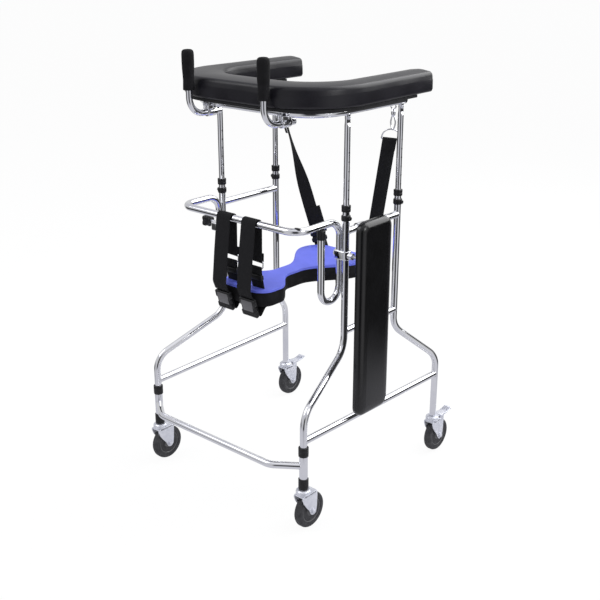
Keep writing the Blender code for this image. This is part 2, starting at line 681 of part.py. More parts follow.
def front_strap(label, side):
    """A front strap: webbing hemmed round the steel link, led up over the guard bar,
    down behind the buckle and under the seat's nose."""
    x = STRAP_X * side
    loop_r = LINK_WIRE_R + FIT + WEB
    over_r = TUBE_R + 0.0008 + WEB
    y, z = LINK_TOP
    top = GUARD_TOP_Z + over_r
    route = [(y + loop_r, z + 0.022), (y + loop_r, z - loop_r), (y - loop_r, z - loop_r),
             (GUARD_FRONT_Y + over_r, top), (GUARD_FRONT_Y - over_r, top),
             (-0.2455, 0.650), (-0.2440, 0.592), (-0.2345, 0.578), (-0.2185, 0.522),
             (-0.1970, SEAT_Z[0] - FIT - WEB), (-0.1350, SEAT_Z[0] - FIT - WEB)]
    radii = [loop_r, loop_r, over_r, over_r, 0.10, 0.010, 0.012, 0.0060, 0.010]
    path = frames(bent([(x, p, q) for p, q in route], radii, 4), (1, 0, 0))
    node(f"front_strap_{label}", skin([rectangle(f, STRAP_HALF, WEB) for f in path]),
         "webbing")


def buckle(label, side):
    """A side-release buckle in front of the strap: a wide body with a waist where the
    two side catches show."""
    x = STRAP_X * side
    start = Vector((x, -0.2415, 0.5785))
    along = Vector((0, 0.0160, -0.0560)).normalized()
    across = Vector((1, 0, 0))
    up = along.cross(across)
    shape = [(0.000, 0.0255, 0.0030), (0.003, 0.0273, 0.0050), (0.020, 0.0273, 0.0052),
             (0.023, 0.0228, 0.0045), (0.035, 0.0228, 0.0045), (0.039, 0.0268, 0.0052),
             (0.051, 0.0268, 0.0050), (0.055, 0.0250, 0.0030)]
    rings = [blunt_rectangle((start + along * d, across, up), w, t, 0.0020)
             for d, w, t in shape]
    node(f"buckle_{label}", skin(rings), "buckle")


def steel_link(label, side):
    """The rectangular steel link between a front strap and its seat tab."""
    x = STRAP_X * side
    half = STRAP_HALF + 0.0035
    (y1, z1), (y0, z0) = LINK_TOP, LINK_LOW
    r = 0.0045
    corners = [(x, y1, z1), (x + half, y1, z1), (x + half, y0, z0), (x - half, y0, z0),
               (x - half, y1, z1), (x, y1, z1)]
    path = bent(corners, [r] * 4, 3)[:-1]
    path[0] = (path[0][0], Vector((1, 0, 0)))
    normal = Vector((1, 0, 0)).cross(Vector((0, y0 - y1, z0 - z1))).normalized()
    node(f"steel_link_{label}",
         skin([ring(f, LINK_WIRE_R, 6) for f in frames(path, normal)], loop=True), "chrome")


def rear_strap_axes(side):
    """The bar that a rear strap is hemmed round, the strap's lower end, the direction
    of its run, and its width direction at the top and at the seat."""
    bar = Vector((DEE_BAR[0] * side, DEE_BAR[1], DEE_BAR[2]))
    tail = Vector((*(REAR_TAIL_RIGHT if side > 0 else REAR_TAIL_LEFT), 0.556))
    run = (tail - bar).normalized()
    top = Vector((0.75, 0.66, 0)) if side > 0 else Vector((0.67, -0.745, 0))
    top = (top - run * top.dot(run)).normalized()
    low = (Vector((0.75, -0.66, 0)) if side > 0 else Vector((0.80, 0.60, 0))).normalized()
    return bar, tail, run, top, low


def rear_strap(label, side):
    """A rear strap: webbing hemmed round the hook's ring, led down to a corner of the
    seat and under it, with a folded end and an adjuster near the seat."""
    bar, tail, run, wide_top, wide_low = rear_strap_axes(side)
    loop_r = HOOK_WIRE_R + FIT + WEB

    def section(place, wide, along, half=REAR_STRAP_HALF, thick=WEB):
        wide = (wide - along * wide.dot(along)).normalized()
        return rectangle((place, wide, along.cross(wide)), half, thick)

    face = run.cross(wide_top)
    hem = bent([face * loop_r + run * 0.024, face * loop_r - run * loop_r,
                -face * loop_r - run * loop_r, -face * loop_r + run * 0.020],
               [loop_r, loop_r], 3)
    rings = [section(bar + p, wide_top, d) for p, d in hem]
    length = (tail - bar).length

    first, last, count = (0.52, 0.88, 16) if side > 0 else (0.06, 0.62, 24)

    def wide_at(t):
        """The width direction turns smoothly between two heights along the run."""
        blend = min(1.0, max(0.0, (t - first) / (last - first)))
        return wide_top.lerp(wide_low, blend * blend * (3 - 2 * blend)).normalized()

    steps = [0.06, 0.20, 0.36] if side > 0 else []
    steps += [first + (last - first) * k / count for k in range(count + 1)] + [1.0]
    for t in steps:
        side_step = face * (-loop_r * max(0.0, 1 - t * 1.5))
        rings.append(section(bar + run * length * t + side_step, wide_at(t), run))
    inward = Vector((wide_low.y, -wide_low.x, 0))
    under = SEAT_Z[0] - FIT - WEB
    turn_r = 0.006
    down = bent([tail, Vector((tail.x, tail.y, under)),
                 Vector((tail.x, tail.y, under)) + inward * 0.060], [turn_r], 4)
    rings += [section(p, wide_low, d) for p, d in down[1:]]

    def sleeve(t0, t1, half, thick):
        spots = [t0 + (t1 - t0) * k / 3 for k in range(4)]
        return skin([section(bar + run * length * t, wide_at(t), run, half, thick)
                     for t in spots])

    blocks = [sleeve(0.700, 0.775, 0.0200, 0.0030), sleeve(0.800, 0.872, 0.0235, 0.0045)]
    node(f"rear_strap_{label}", skin(rings), "webbing", add=blocks)


def snap_hook(label, side):
    """A snap hook on the pad's staple: an eye, a swivel barrel and a hook loop, with the
    D-shaped ring that carries the strap."""
    x, y = HOOK_AT[0] * side, HOOK_AT[1]
    wire = HOOK_WIRE_R

    def wire_loop(points, radii, normal, sides=6):
        path = bent([points[0]] + points[1:] + [points[0]], radii, 2)[:-1]
        return skin([ring(f, wire, sides) for f in frames(path, normal)], loop=True)

    eye_z, eye = STAPLE_Z - 0.003, 0.0080
    eye_loop = wire_loop([(x, y, eye_z + eye), (x + eye, y, eye_z + eye),
                          (x + eye, y, eye_z - eye), (x - eye, y, eye_z - eye),
                          (x - eye, y, eye_z + eye)], [eye * 0.98] * 4, (0, 1, 0))
    barrel = turned("z", (x, y, 0), [(1.022, 0.0045), (1.026, 0.0060), (1.036, 0.0060),
                                     (1.0405, 0.0040)], 8)
    low, high, half = 0.985, 1.024, 0.0075
    hook_loop = wire_loop([(x, y, high), (x + half, y, high), (x + half, y, low),
                           (x - half, y, low), (x - half, y, high)], [half * 0.98] * 4,
                          (0, 1, 0))
    bar, tail, run, wide, low_wide = rear_strap_axes(side)
    rise = Vector((x, y, low + 0.001)) - bar
    reach = REAR_STRAP_HALF + 0.0040
    points = [bar, bar + wide * reach, bar + wide * reach + rise,
              bar - wide * reach + rise, bar - wide * reach]
    dee = wire_loop(points, [0.003, reach * 0.90, reach * 0.90, 0.003],
                    rise.cross(wide).normalized())
    node(f"snap_hook_{label}", eye_loop, "chrome", add=[barrel, hook_loop, dee])


def board():
    """The hinged board: padded vinyl with rounded corners and edges, hung from a flat
    bracket that hooks over the top bar."""
    x0, x1 = BOARD_X
    (y0, y1), (z0, z1) = BOARD_Y, BOARD_Z

    def outline(x, inset):
        r = BOARD_CORNER_R - inset
        points = []
        for cy, cz, start in [(y1, z1, 0), (y0, z1, 90), (y0, z0, 180), (y1, z0, 270)]:
            sy = 1 if cy == y1 else -1
            sz = 1 if cz == z1 else -1
            oy, oz = cy - sy * BOARD_CORNER_R, cz - sz * BOARD_CORNER_R
            for k in range(5):
                a = math.radians(start + 90 * k / 4)
                points.append(Vector((x, oy + r * math.cos(a), oz + r * math.sin(a))))
        return points

    e = BOARD_EDGE_R
    pivot = (POST_X, BRACKET_Y, TOP_BAR_Z)
    rings = [outline(x0, 0.003), outline(x0 + 0.003, 0.0), outline(x1 - e, 0.0),
             outline(x1 - e * 0.3, e * 0.3), outline(x1, e)]
    node("seat_board", skin(rings), "board_vinyl", pivot=pivot)

    hug = TUBE_R + FIT + BRACKET_T
    face = x0 - FIT - BRACKET_T
    z = TOP_BAR_Z + hug
    path = frames(bent([(face, BRACKET_Y, 0.690), (face, BRACKET_Y, z),
                        (POST_X - hug, BRACKET_Y, z), (POST_X - hug, BRACKET_Y, 0.747)],
                       [0.012, hug], 4), (0, 1, 0))
    node("board_hook", skin([blunt_rectangle(f, BRACKET_HALF, BRACKET_T, 0.0004)
                             for f in path]), "chrome", pivot=pivot)


for old in list(bpy.data.objects):
    bpy.data.objects.remove(old, do_unlink=True)

SIDE_NAMES = (("right", 1), ("left", -1))
END_NAMES = (("front", 0), ("rear", 1))
for side_name, side in SIDE_NAMES:
    for end_name, end in END_NAMES:
        label = f"{end_name}_{side_name}"
        leg(f"leg_{label}", side, end)
        post(f"height_post_{label}", side, end)
        spring_clip(label, side, end)
        caster(label, side, end)
    x = POST_X * side
    coped_bar(f"top_bar_{side_name}", (x, POST_Y[0], TOP_BAR_Z), (x, POST_Y[1], TOP_BAR_Z))
    coped_bar(f"mid_bar_{side_name}", (x, POST_Y[0], MID_BAR_Z), (x, POST_Y[1], MID_BAR_Z))
    coped_bar(f"low_bar_{side_name}", (FOOT_X[0] * side, FOOT_Y[0], LOW_BAR_Z),
              (FOOT_X[1] * side, FOOT_Y[1], LOW_BAR_Z))
    handle(side_name, side)
    star_knob(side_name, side)
    front_strap(side_name, side)
    buckle(side_name, side)
    steel_link(side_name, side)
    rear_strap(side_name, side)
    snap_hook(side_name, side)
crossbar()
arm_ring()
pad_base()
forearm_pad()
guard_bar()
seat()
board()
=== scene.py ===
"""A wheeled walker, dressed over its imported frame: chromed tubes on four casters, a
U-shaped forearm pad with two upright handles, a blue and black saddle seat on webbing
straps, and a padded board hinged at one side. Metres, +Z up, the user faces -Y.
"""
import math

import bpy
import numpy as np
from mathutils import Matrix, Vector


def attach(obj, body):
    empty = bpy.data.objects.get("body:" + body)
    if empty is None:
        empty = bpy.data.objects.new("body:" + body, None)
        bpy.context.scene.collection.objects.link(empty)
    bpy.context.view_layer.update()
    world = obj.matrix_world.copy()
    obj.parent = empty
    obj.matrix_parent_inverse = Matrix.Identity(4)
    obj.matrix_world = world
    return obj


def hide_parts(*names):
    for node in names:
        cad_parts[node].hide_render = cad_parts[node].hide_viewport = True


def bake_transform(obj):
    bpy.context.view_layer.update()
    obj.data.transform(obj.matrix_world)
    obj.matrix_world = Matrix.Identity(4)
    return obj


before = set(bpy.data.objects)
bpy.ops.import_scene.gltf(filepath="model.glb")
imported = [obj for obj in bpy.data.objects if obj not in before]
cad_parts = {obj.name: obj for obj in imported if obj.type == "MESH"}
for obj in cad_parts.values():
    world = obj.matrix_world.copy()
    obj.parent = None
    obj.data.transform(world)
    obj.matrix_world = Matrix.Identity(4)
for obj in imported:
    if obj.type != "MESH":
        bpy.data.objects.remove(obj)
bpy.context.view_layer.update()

# ---- The studio ------------------------------------------------------------------
# A white floor and a white surround. Bright tubes mirror the surround, so what they
# see has a few dark upright strips in it, as a photographer's black cards would give.
# They mirror the floor only close to the walker, where the paper lies.


class Signal:
    """A socket in a material's nodes. Arithmetic on it adds Math nodes."""

    def __init__(self, tree, socket=None):
        self.tree, self.socket = tree, socket

    def node(self, kind, inputs=None, pick=0, stops=None, **settings):
        """Adds a node: its settings first, then the values or links of its inputs. The
        result is the output that is picked."""
        item = self.tree.nodes.new("ShaderNode" + kind)
        for key, value in settings.items():
            setattr(item, key, value)
        if stops:
            colours = [tuple(c) if hasattr(c, "__len__") else (c, c, c) for _, c in stops]
            ramp = item.color_ramp
            ramp.elements[0].position, ramp.elements[-1].position = stops[0][0], stops[-1][0]
            ramp.elements[0].color, ramp.elements[-1].color = (*colours[0], 1), (*colours[-1], 1)
            for (at, _), colour in zip(stops[1:-1], colours[1:-1]):
                ramp.elements.new(at).color = (*colour, 1)
        for key, value in (inputs or {}).items():
            if isinstance(value, Signal):
                self.tree.links.new(value.socket, item.inputs[key])
            else:
                item.inputs[key].default_value = value
        return Signal(self.tree, item.outputs[pick])

    def maths(self, operation, *values):
        return self.node("Math", dict(enumerate(values)), operation=operation)

    def mix(self, low, high):
        """A colour: low where this signal is 0 and high where it is 1."""
        low, high = [(*c, 1) if isinstance(c, tuple) else c for c in (low, high)]
        return self.node("Mix", {0: self, 6: low, 7: high}, pick=2, data_type="RGBA")

    def step(self, start, stop):
        """0 below start and 1 above stop, with a smooth rise between them."""
        return self.node("MapRange", {"Value": self, "From Min": start, "From Max": stop},
                         interpolation_type="SMOOTHSTEP")

    def __add__(self, other):
        return self.maths("ADD", self, other)

    def __mul__(self, other):
        return self.maths("MULTIPLY", self, other)

    __radd__, __rmul__ = __add__, __mul__


world = bpy.data.worlds.new("surround")
bpy.context.scene.world = world
world.use_nodes = True
sky = Signal(world.node_tree)
direction = sky.node("TexCoord", pick="Generated")
east, north, up = [sky.node("SeparateXYZ", {"Vector": direction}, pick=k) for k in range(3)]
turn = sky.maths("ARCTAN2", north, east) * (0.5 / math.pi) + 0.5
low_strips = sky.node("ValToRGB", {"Fac": turn}, stops=[
    (0.0, 0.5), (0.016, 0.24), (0.032, 0.05), (0.128, 0.05), (0.152, 0.3), (0.176, 0.52),
    (0.23, (0.62, 0.62, 0.66)), (0.29, 0.52), (0.32, (0.2, 0.2, 0.23)), (0.34, 0.03),
    (0.394, 0.03), (0.416, (0.24, 0.24, 0.27)), (0.446, 0.56), (0.5, (0.74, 0.74, 0.77)),
    (0.548, 0.48), (0.572, 0.06), (0.69, 0.04), (0.716, (0.2, 0.2, 0.24)), (0.75, 0.6),
    (0.84, 0.8), (0.9, 0.5), (0.96, 0.7), (1.0, 0.5)])
high_strips = sky.node("ValToRGB", {"Fac": turn}, stops=[
    (0.0, 0.6), (0.1, 0.62), (0.16, (0.58, 0.58, 0.61)), (0.296, 0.55), (0.332, 0.05),
    (0.396, 0.05), (0.43, 0.5), (0.585, 0.6), (0.616, 0.04), (0.684, 0.04), (0.72, 0.45),
    (0.86, 0.7), (1.0, 0.6)])
below = up.step(-0.46, -0.7).mix(low_strips, (0.56, 0.56, 0.6))
level = up.step(-0.16, 0.1).mix(below, high_strips)
above = up.step(0.34, 0.62).mix(level, (0.6, 0.6, 0.64))
mirrored_surround = up.step(0.62, 0.96).mix(above, (0.85, 0.85, 0.87))
seen, glossy = [sky.node("LightPath", pick=k) for k in ("Is Camera Ray", "Is Glossy Ray")]
surround = glossy.mix((0.8, 0.8, 0.82), mirrored_surround)
backdrop = world.node_tree.nodes["Background"]
world.node_tree.links.new(seen.mix(surround, (1.0, 1.0, 1.0)).socket, backdrop.inputs[0])
backdrop.inputs[1].default_value = 1.0


def added(name, data):
    """A new object in the scene."""
    item = bpy.data.objects.new(name, data)
    bpy.context.collection.objects.link(item)
    return item


def aimed(item, place, spot):
    """Puts a camera or a lamp at its place and turns it to face the spot."""
    item.location = place
    item.rotation_euler = (Vector(spot) - item.location).to_track_quat("-Z", "Y").to_euler()


floor_mesh = bpy.data.meshes.new("floor")
bearing = np.linspace(0, 2 * np.pi, 64, endpoint=False)
floor_mesh.from_pydata((np.stack([np.cos(bearing), np.sin(bearing), 0 * bearing], 1)
                        * 60.0 - [0, 0, 0.0006]).tolist(), [], [list(range(64))])
floor = added("floor", floor_mesh)
paper = bpy.data.materials.new("white_paper")
paper.use_nodes = True
sheet = Signal(paper.node_tree)
seen, glossy = [sheet.node("LightPath", pick=k) for k in ("Is Camera Ray", "Is Glossy Ray")]
lit = sheet.node("BsdfDiffuse", {"Color": (0.88, 0.88, 0.88, 1)})
glow = sheet.node("Emission", {"Color": glossy.mix((1.0, 1.0, 1.0), (0.6, 0.6, 0.64))})
clear = sheet.node("BsdfTransparent")
shown = sheet.node("MixShader", {0: seen * 0.92 + glossy, 1: lit, 2: glow})
from_middle = sheet.node("VectorMath", {0: sheet.node("TexCoord", pick="Object")}, pick="Value",
                         operation="LENGTH")
shown = sheet.node("MixShader", {0: glossy * from_middle.step(0.75, 1.45), 1: shown, 2: clear})
sheet.tree.links.new(shown.socket, sheet.tree.nodes["Material Output"].inputs[0])
floor_mesh.materials.append(paper)

camera = added("camera", bpy.data.cameras.new("camera"))
camera.data.lens, camera.data.sensor_width = 58.77, 36.0
aimed(camera, (1.73467, -1.97358, 1.4691), (-0.004, 0.0085, 0.4901))
bpy.context.scene.camera = camera
bpy.context.scene.view_settings.view_transform = "Standard"

for name, place, size, power in [("softbox_left", (-1.5, -1.9, 2.9), 1.8, 24),
                                 ("softbox_right", (2.4, -0.2, 1.9), 0.8, 10),
                                 ("softbox_back", (0.9, 2.0, 2.6), 3.2, 100)]:
    lamp = bpy.data.lights.new(name, "AREA")
    lamp.size, lamp.energy = size, power
    aimed(added(name, lamp), place, (0, 0, 0.7))

# ---- Legs ------------------------------------------------------------------------
# Four legs of 19 mm steel tube, bent twice and chromed. Black plastic bushes guide the
# height posts at the top, and the front pair has a second bush above the crossbar.

shift = np.array([-0.004, -0.01225, 0.0])
sides_of = {"right": 1, "left": -1}
corners_of = [(f"{end}_{side}", e, s) for e, end in enumerate(("front", "rear"))
              for side, s in sides_of.items()]


def finish(name, build, *values):
    """A material. Build gets the piece's own coordinates as a signal, and the values, and
    returns the shader's sockets: numbers, colours or signals."""
    material = bpy.data.materials.new(name)
    material.use_nodes = True
    tree = material.node_tree
    shader = tree.nodes["Principled BSDF"]
    place = Signal(tree).node("TexCoord", pick="Object")
    for key, value in build(place, *values).items():
        if isinstance(value, Signal):
            tree.links.new(value.socket, shader.inputs[key])
        else:
            shader.inputs[key].default_value = (*value, 1) if isinstance(value, tuple) else value
    return material


def noise(place, scale, detail=2.0, roughness=0.5):
    return place.node("TexNoise",
                      {"Vector": place, "Scale": scale, "Detail": detail, "Roughness": roughness})


def bump(height, strength, distance):
    return height.node("Bump", {"Height": height, "Strength": strength, "Distance": distance},
                       pick="Normal")


def chrome_look(place):
    """Mirror plate with a faint bloom of wiped marks and slow dips in the tube wall."""
    bloom = noise(place, 14, 6, 0.62)
    dips = noise(place, 26, 1)
    return {"Base Color": bloom.step(0.35, 0.75).mix((0.9, 0.905, 0.93), (0.8, 0.81, 0.86)),
            "Metallic": 1.0, "Roughness": bloom.step(0.4, 0.8) * 0.07 + 0.05,
            "Normal": bump(dips, 0.05, 0.002)}


def black_plastic_look(place):
    """Moulded black plastic with a fine grain and slight wear."""
    grain, wear = noise(place, 900, 2), noise(place, 40, 4)
    return {"Base Color": wear.step(0.4, 0.8).mix((0.009, 0.009, 0.01), (0.017, 0.017, 0.019)),
            "Specular IOR Level": 0.3, "Roughness": wear * 0.22 + 0.28,
            "Normal": bump(grain, 0.15, 0.0003)}


chrome = finish("chrome_plate", chrome_look)
black_plastic = finish("moulded_black_plastic", black_plastic_look)


def unit(v):
    return v / np.linalg.norm(v, axis=-1, keepdims=True)


def bend(corners, radii, step=7.0):
    """A centre line whose inner corners are arcs: each arc's centre lies r tan(a / 2)
    back from the corner and r towards the inside, and its points turn about it."""
    points = np.array(corners, float)
    pieces = [points[:1]]
    for i, radius in enumerate(radii, start=1):
        into, away = unit(points[i] - points[i - 1]), unit(points[i + 1] - points[i])
        angle = math.acos(max(-1.0, min(1.0, into @ away)))
        if angle < 1e-3 or radius < 1e-7:
            pieces.append(points[i:i + 1])
            continue
        inward = unit(away - into * (into @ away))
        centre = points[i] - into * radius * math.tan(angle / 2) + inward * radius
        t = np.linspace(0, angle, max(2, math.ceil(math.degrees(angle) / step)) + 1)[:, None]
        pieces.append(centre + radius * (into * np.sin(t) - inward * np.cos(t)))
    line = np.vstack(pieces + [points[-1:]])
    gaps = np.linalg.norm(np.diff(line, axis=0), axis=1)
    return line[np.append(True, gaps > 1e-6)]


def carried(line, side):
    """The direction along a line and two directions across it, kept free of twist."""
    chord = unit(np.diff(line, axis=0))
    along = unit(np.vstack([chord[:1], chord[:-1] + chord[1:], chord[-1:]]))
    across, last = np.empty_like(line), np.array(side, float)
    for i, direction in enumerate(along):
        last = unit(last - direction * (last @ direction))
        across[i] = last
    return along, across, np.cross(along, across)


def circle(count):
    """Angles spread evenly once round."""
    return np.arange(count) * 2 * np.pi / count


def rings(line, across, up, radius, sides):
    """Rings round a line: point + (across cos a + up sin a) radius."""
    a = circle(sides)[None, :, None]
    return line[:, None] + (across[:, None] * np.cos(a) + up[:, None] * np.sin(a)) * radius


def tube(line, radius, sides=32, side=(1, 0, 0)):
    """A tube along a line, up to its two ends."""
    return rings(line, *carried(line, side)[1:], radius, sides)


def soften(points, radius, closed=False, step=22.0):
    """Rounds a flat line's corners by the radius, or by less where a run is short."""
    p = np.array(points, float)
    p = np.hstack([p, np.zeros((len(p), 3 - p.shape[1]))])
    ring = np.vstack([p[-1:], p, p[:1]]) if closed else p
    run = np.linalg.norm(np.diff(ring, axis=0), axis=1)
    into, away = unit(ring[1:-1] - ring[:-2]), unit(ring[2:] - ring[1:-1])
    half = np.arccos(np.clip((into * away).sum(1), -1, 1)) / 2
    room = 0.48 * np.minimum(run[:-1], run[1:]) / np.maximum(np.tan(half), 1e-3)
    line = bend(ring, np.minimum(radius, room), step)
    return line[1:-1] if closed else line


def turned(axis, centre, profile, sides=40, fillet=0.0008):
    """A turned form: centre + axis d + (u cos a + v sin a) r, for a softened profile."""
    along, u = {"x": ((1, 0, 0), (0, 1, 0)), "y": ((0, 1, 0), (0, 0, 1)),
                "z": ((0, 0, 1), (1, 0, 0))}[axis]
    line = soften(profile, fillet)
    a = circle(sides)[None, :, None]
    spoke = np.array(u) * np.cos(a) + np.cross(along, u) * np.sin(a)
    return (np.array(centre, float) + np.array(along) * line[:, None, :1]
            + spoke * line[:, None, 1:2])


def even(half):
    """A turned profile whose second half is the first one's reflection."""
    return half + [(-d, r) for d, r in half[::-1]]


def mirrored(grid):
    """The same form for the other hand: x changes sign and the rings run backwards, so
    that the faces still point outwards."""
    return grid[::-1] * np.array([-1.0, 1.0, 1.0])


def travelled(points):
    """The distance along a closed line to each point, and back to the first one."""
    return np.append(0, np.cumsum(np.linalg.norm(np.roll(points, -1, 0) - points, axis=1)))


def make(name, body, stands_for, shells, sharp=36.0, flip=False):
    """One piece of the walker. A shell is (grid of rings, finish) or, where its rings
    close on themselves, (grid, finish, True). Quads join the rings, one face closes each
    open end, and the UV map holds metres along and metres round. Flip makes the piece
    for the other hand."""
    points, faces, kinds, uvs, finishes, base = [], [], [], [], [], 0
    for shell in shells:
        grid, material, looped = (*shell, False)[:3]
        grid = mirrored(grid) if flip else grid
        if material not in finishes:
            finishes.append(material)
        rows, count = grid.shape[:2]
        i = np.arange(rows if looped else rows - 1)[:, None]
        j = np.arange(count)[None, :]
        ahead, beside = (i + 1) % rows, (j + 1) % count
        quads = np.stack([i * count + j, i * count + beside, ahead * count + beside,
                          ahead * count + j], -1).reshape(-1, 4) + base
        run, round_ = travelled(grid.mean(1)), travelled(grid[rows // 2])
        u = np.stack([run[i], run[i], run[i + 1], run[i + 1]], -1) + 0 * j[..., None]
        v = np.stack([round_[j], round_[j + 1], round_[j + 1], round_[j]], -1) + 0 * i[..., None]
        uvs.append(np.stack([u, v], -1).reshape(-1, 2))
        faces += quads.tolist()
        if not looped:
            faces.append((np.arange(count)[::-1] + base).tolist())
            faces.append((np.arange(count) + base + (rows - 1) * count).tolist())
            uvs.append(np.zeros((2 * count, 2)))
        kinds += [finishes.index(material)] * (len(faces) - len(kinds))
        points.append(grid.reshape(-1, 3))
        base += rows * count
    mesh = bpy.data.meshes.new(name)
    mesh.from_pydata((np.vstack(points) + shift).tolist(), [], faces)
    for material in finishes:
        mesh.materials.append(material)
    mesh.polygons.foreach_set("material_index", kinds)
    mesh.uv_layers.new(name="UVMap").data.foreach_set("uv", np.vstack(uvs).ravel())
    mesh.shade_smooth()
    mesh.set_sharp_from_angle(angle=math.radians(sharp))
    piece = added(name, mesh)
    if body:
        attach(piece, body)
    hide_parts(*stands_for)
    return piece


post_x, post_y = 0.226, (-0.058, 0.167)
foot_x, foot_y = (0.281, 0.297), (-0.286, 0.286)
leg_r = 0.0095
clip_z = 0.792


def bush(x, y, low, high, radius, bore):
    """A black plastic bush: a turned sleeve with a shallow groove round it."""
    mid = low + 0.42 * (high - low)
    return turned("z", (x, y, 0), [(low, bore), (low, radius - 0.0003), (mid, radius),
                                   (mid + 0.0004, radius - 0.0006), (mid + 0.0016, radius - 0.0006),
                                   (mid + 0.002, radius), (high, radius), (high, bore)])


for tag, e, s in corners_of:
    x0, y0, x1, y1 = foot_x[e], foot_y[e], post_x, post_y[e]
    line = bend([(x0, y0, 0.1215), (x0, y0, (0.33, 0.315)[e]),
                 (x1, y1, (0.428, 0.425)[e]), (x1, y1, 0.824)], [0.06, 0.06], 4.5)
    shells = [(tube(line, leg_r), chrome),
              (bush(x1, y1, 0.8087, 0.8253, 0.0122, 0.0082), black_plastic),
              (turned("z", (x1, y1, clip_z),
                      even([(-0.0075, 0.0094), (-0.0075, 0.0114), (-0.0042, 0.0124)])),
               black_plastic)]
    if e == 0:
        shells.append((bush(x0, y0, 0.2168, 0.2424, 0.0135, 0.0095), black_plastic))
    make(f"leg_tube_{tag}", "frame", [f"leg_{tag}"], shells, flip=s < 0)

# ---- Bars between the legs -------------------------------------------------------
# Three bars at each side, one above the other, coped to the legs and welded. Each weld
# shows as a thin bead that follows the saddle line where two round tubes meet.


def wire(line, radius, sides=10, side=(1, 0, 0)):
    """A closed loop of wire: the line is joined end to end before its directions are
    taken, so that the last ring meets the first."""
    along = unit(np.roll(line, -1, 0) - np.roll(line, 1, 0))
    across = unit(np.array(side) - along * (along @ np.array(side))[:, None])
    return rings(line, across, np.cross(along, across), radius, sides)


def bead(centre, along, host_r, bar_r, host=(0, 0, 1), size=0.0011):
    """A weld bead: for each angle round the bar, its point lies where the bar's surface
    enters the host tube: sqrt(host_r^2 - offset^2) out from the host's axis."""
    along, host = unit(np.array(along, float)), np.array(host, float)
    cross, a = unit(np.cross(host, along)), circle(40)
    offset = bar_r * np.cos(a)
    out = np.sqrt(np.maximum(host_r ** 2 - offset ** 2, (0.25 * host_r) ** 2))
    line = (np.array(centre) + cross * offset[:, None] + host * (bar_r * np.sin(a))[:, None]
            + along * out[:, None])
    return wire(line, size, 8, along + 0.3 * host)


top_bar_z = 0.756
for side, s in sides_of.items():
    for name, z, start, stop in [
            ("top_bar", top_bar_z, (post_x, post_y[0]), (post_x, post_y[1])),
            ("mid_bar", 0.478, (post_x, post_y[0]), (post_x, post_y[1])),
            ("low_bar", 0.258, (foot_x[0], foot_y[0]), (foot_x[1], foot_y[1]))]:
        a, b = np.array([*start, z]), np.array([*stop, z])
        cope = unit(b - a) * 0.004
        bar = np.linspace(a + cope, b - cope, 9)
        shells = [(tube(bar, leg_r), chrome), (bead(a, b - a, leg_r, leg_r), chrome, True),
                  (bead(b, a - b, leg_r, leg_r), chrome, True)]
        make(f"{name}_tube_{side}", "frame", [f"{name}_{side}"], shells, flip=s < 0)

# ---- Crossbar --------------------------------------------------------------------
# One bent tube across the front, low down, welded to a chromed sleeve at each front
# foot. A black collar closes the lower end of each sleeve.

cross_x, cross_y, cross_z, sleeve_r = 0.2095, -0.338, 0.1875, 0.0112
line = bend([(foot_x[0], foot_y[0], cross_z), (cross_x, cross_y, cross_z),
             (-cross_x, cross_y, cross_z), (-foot_x[0], foot_y[0], cross_z)], [0.045, 0.045], 4)
shells = [(tube(line, leg_r, side=(0, 0, 1)), chrome)]
for s in (1, -1):
    for low, high, radius, bore, material in [(0.15, 0.2165, sleeve_r, 0.0096, chrome),
                                              (0.1225, 0.1512, 0.0135, 0.0062, black_plastic)]:
        shells.append((turned("z", (s * foot_x[0], foot_y[0], 0),
                              [(low, bore), (low, radius), (high, radius), (high, bore)]),
                       material))
    away = np.array([(cross_x - foot_x[0]) * s, cross_y - foot_y[0], 0])
    shells.append((bead((s * foot_x[0], foot_y[0], cross_z), away, sleeve_r, leg_r), chrome,
                   True))
make("crossbar_tube", "frame", ["crossbar"], shells)

# ---- Casters ---------------------------------------------------------------------
# Four 100 mm swivel casters. Each has a pressed and zinc-plated fork under a ball race,
# a dark grey tyre on a plastic hub, and an axle bolt. The rear pair has foot pedals.


def zinc_look(place):
    """Bright zinc: a cool satin with faint spangle and rolling marks."""
    spangle = place.node("TexVoronoi", {"Vector": place, "Scale": 160})
    cloud = noise(place, 30, 5, 0.6)
    return {"Base Color": cloud.step(0.3, 0.75).mix((0.74, 0.75, 0.81), (0.6, 0.62, 0.69)),
            "Metallic": 0.6, "Roughness": cloud * 0.16 + spangle * 0.1 + 0.2,
            "Normal": bump(cloud, 0.1, 0.0008)}


def tyre_look(place):
    """Dark grey rubber, scuffed paler where it rolls, with fine moulding rings."""
    scuff, grit = noise(place, 55, 5, 0.65), noise(place, 420, 3)
    worn = scuff.step(0.38, 0.72)
    return {"Base Color": worn.mix((0.026, 0.026, 0.029), (0.048, 0.048, 0.052)),
            "Specular IOR Level": 0.25, "Roughness": scuff * 0.25 + 0.38,
            "Normal": bump(grit, 0.25, 0.0004)}


def hub_look(place):
    """Grey nylon, smoother than the tyre."""
    cloud = noise(place, 70, 3)
    return {"Base Color": cloud.mix((0.062, 0.062, 0.066), (0.095, 0.095, 0.1)),
            "Roughness": cloud * 0.2 + 0.3, "Normal": bump(noise(place, 600, 2), 0.1, 0.0003)}


zinc = finish("zinc_plate", zinc_look)
tyre = finish("grey_rubber", tyre_look)
nylon = finish("grey_nylon", hub_look)


def box(x0, x1, y0, y1):
    """The corners of a flat rectangle, anticlockwise."""
    return [(x0, y0), (x1, y0), (x1, y1), (x0, y1)]


def inset(outline, amount):
    """Moves a closed flat outline inwards, along the mean normal of its two edges."""
    forward = unit(np.roll(outline, -1, 0) - outline)
    mean = unit(forward + np.roll(forward, 1, 0))
    return outline + np.stack([-mean[:, 1], mean[:, 0]], 1) * amount


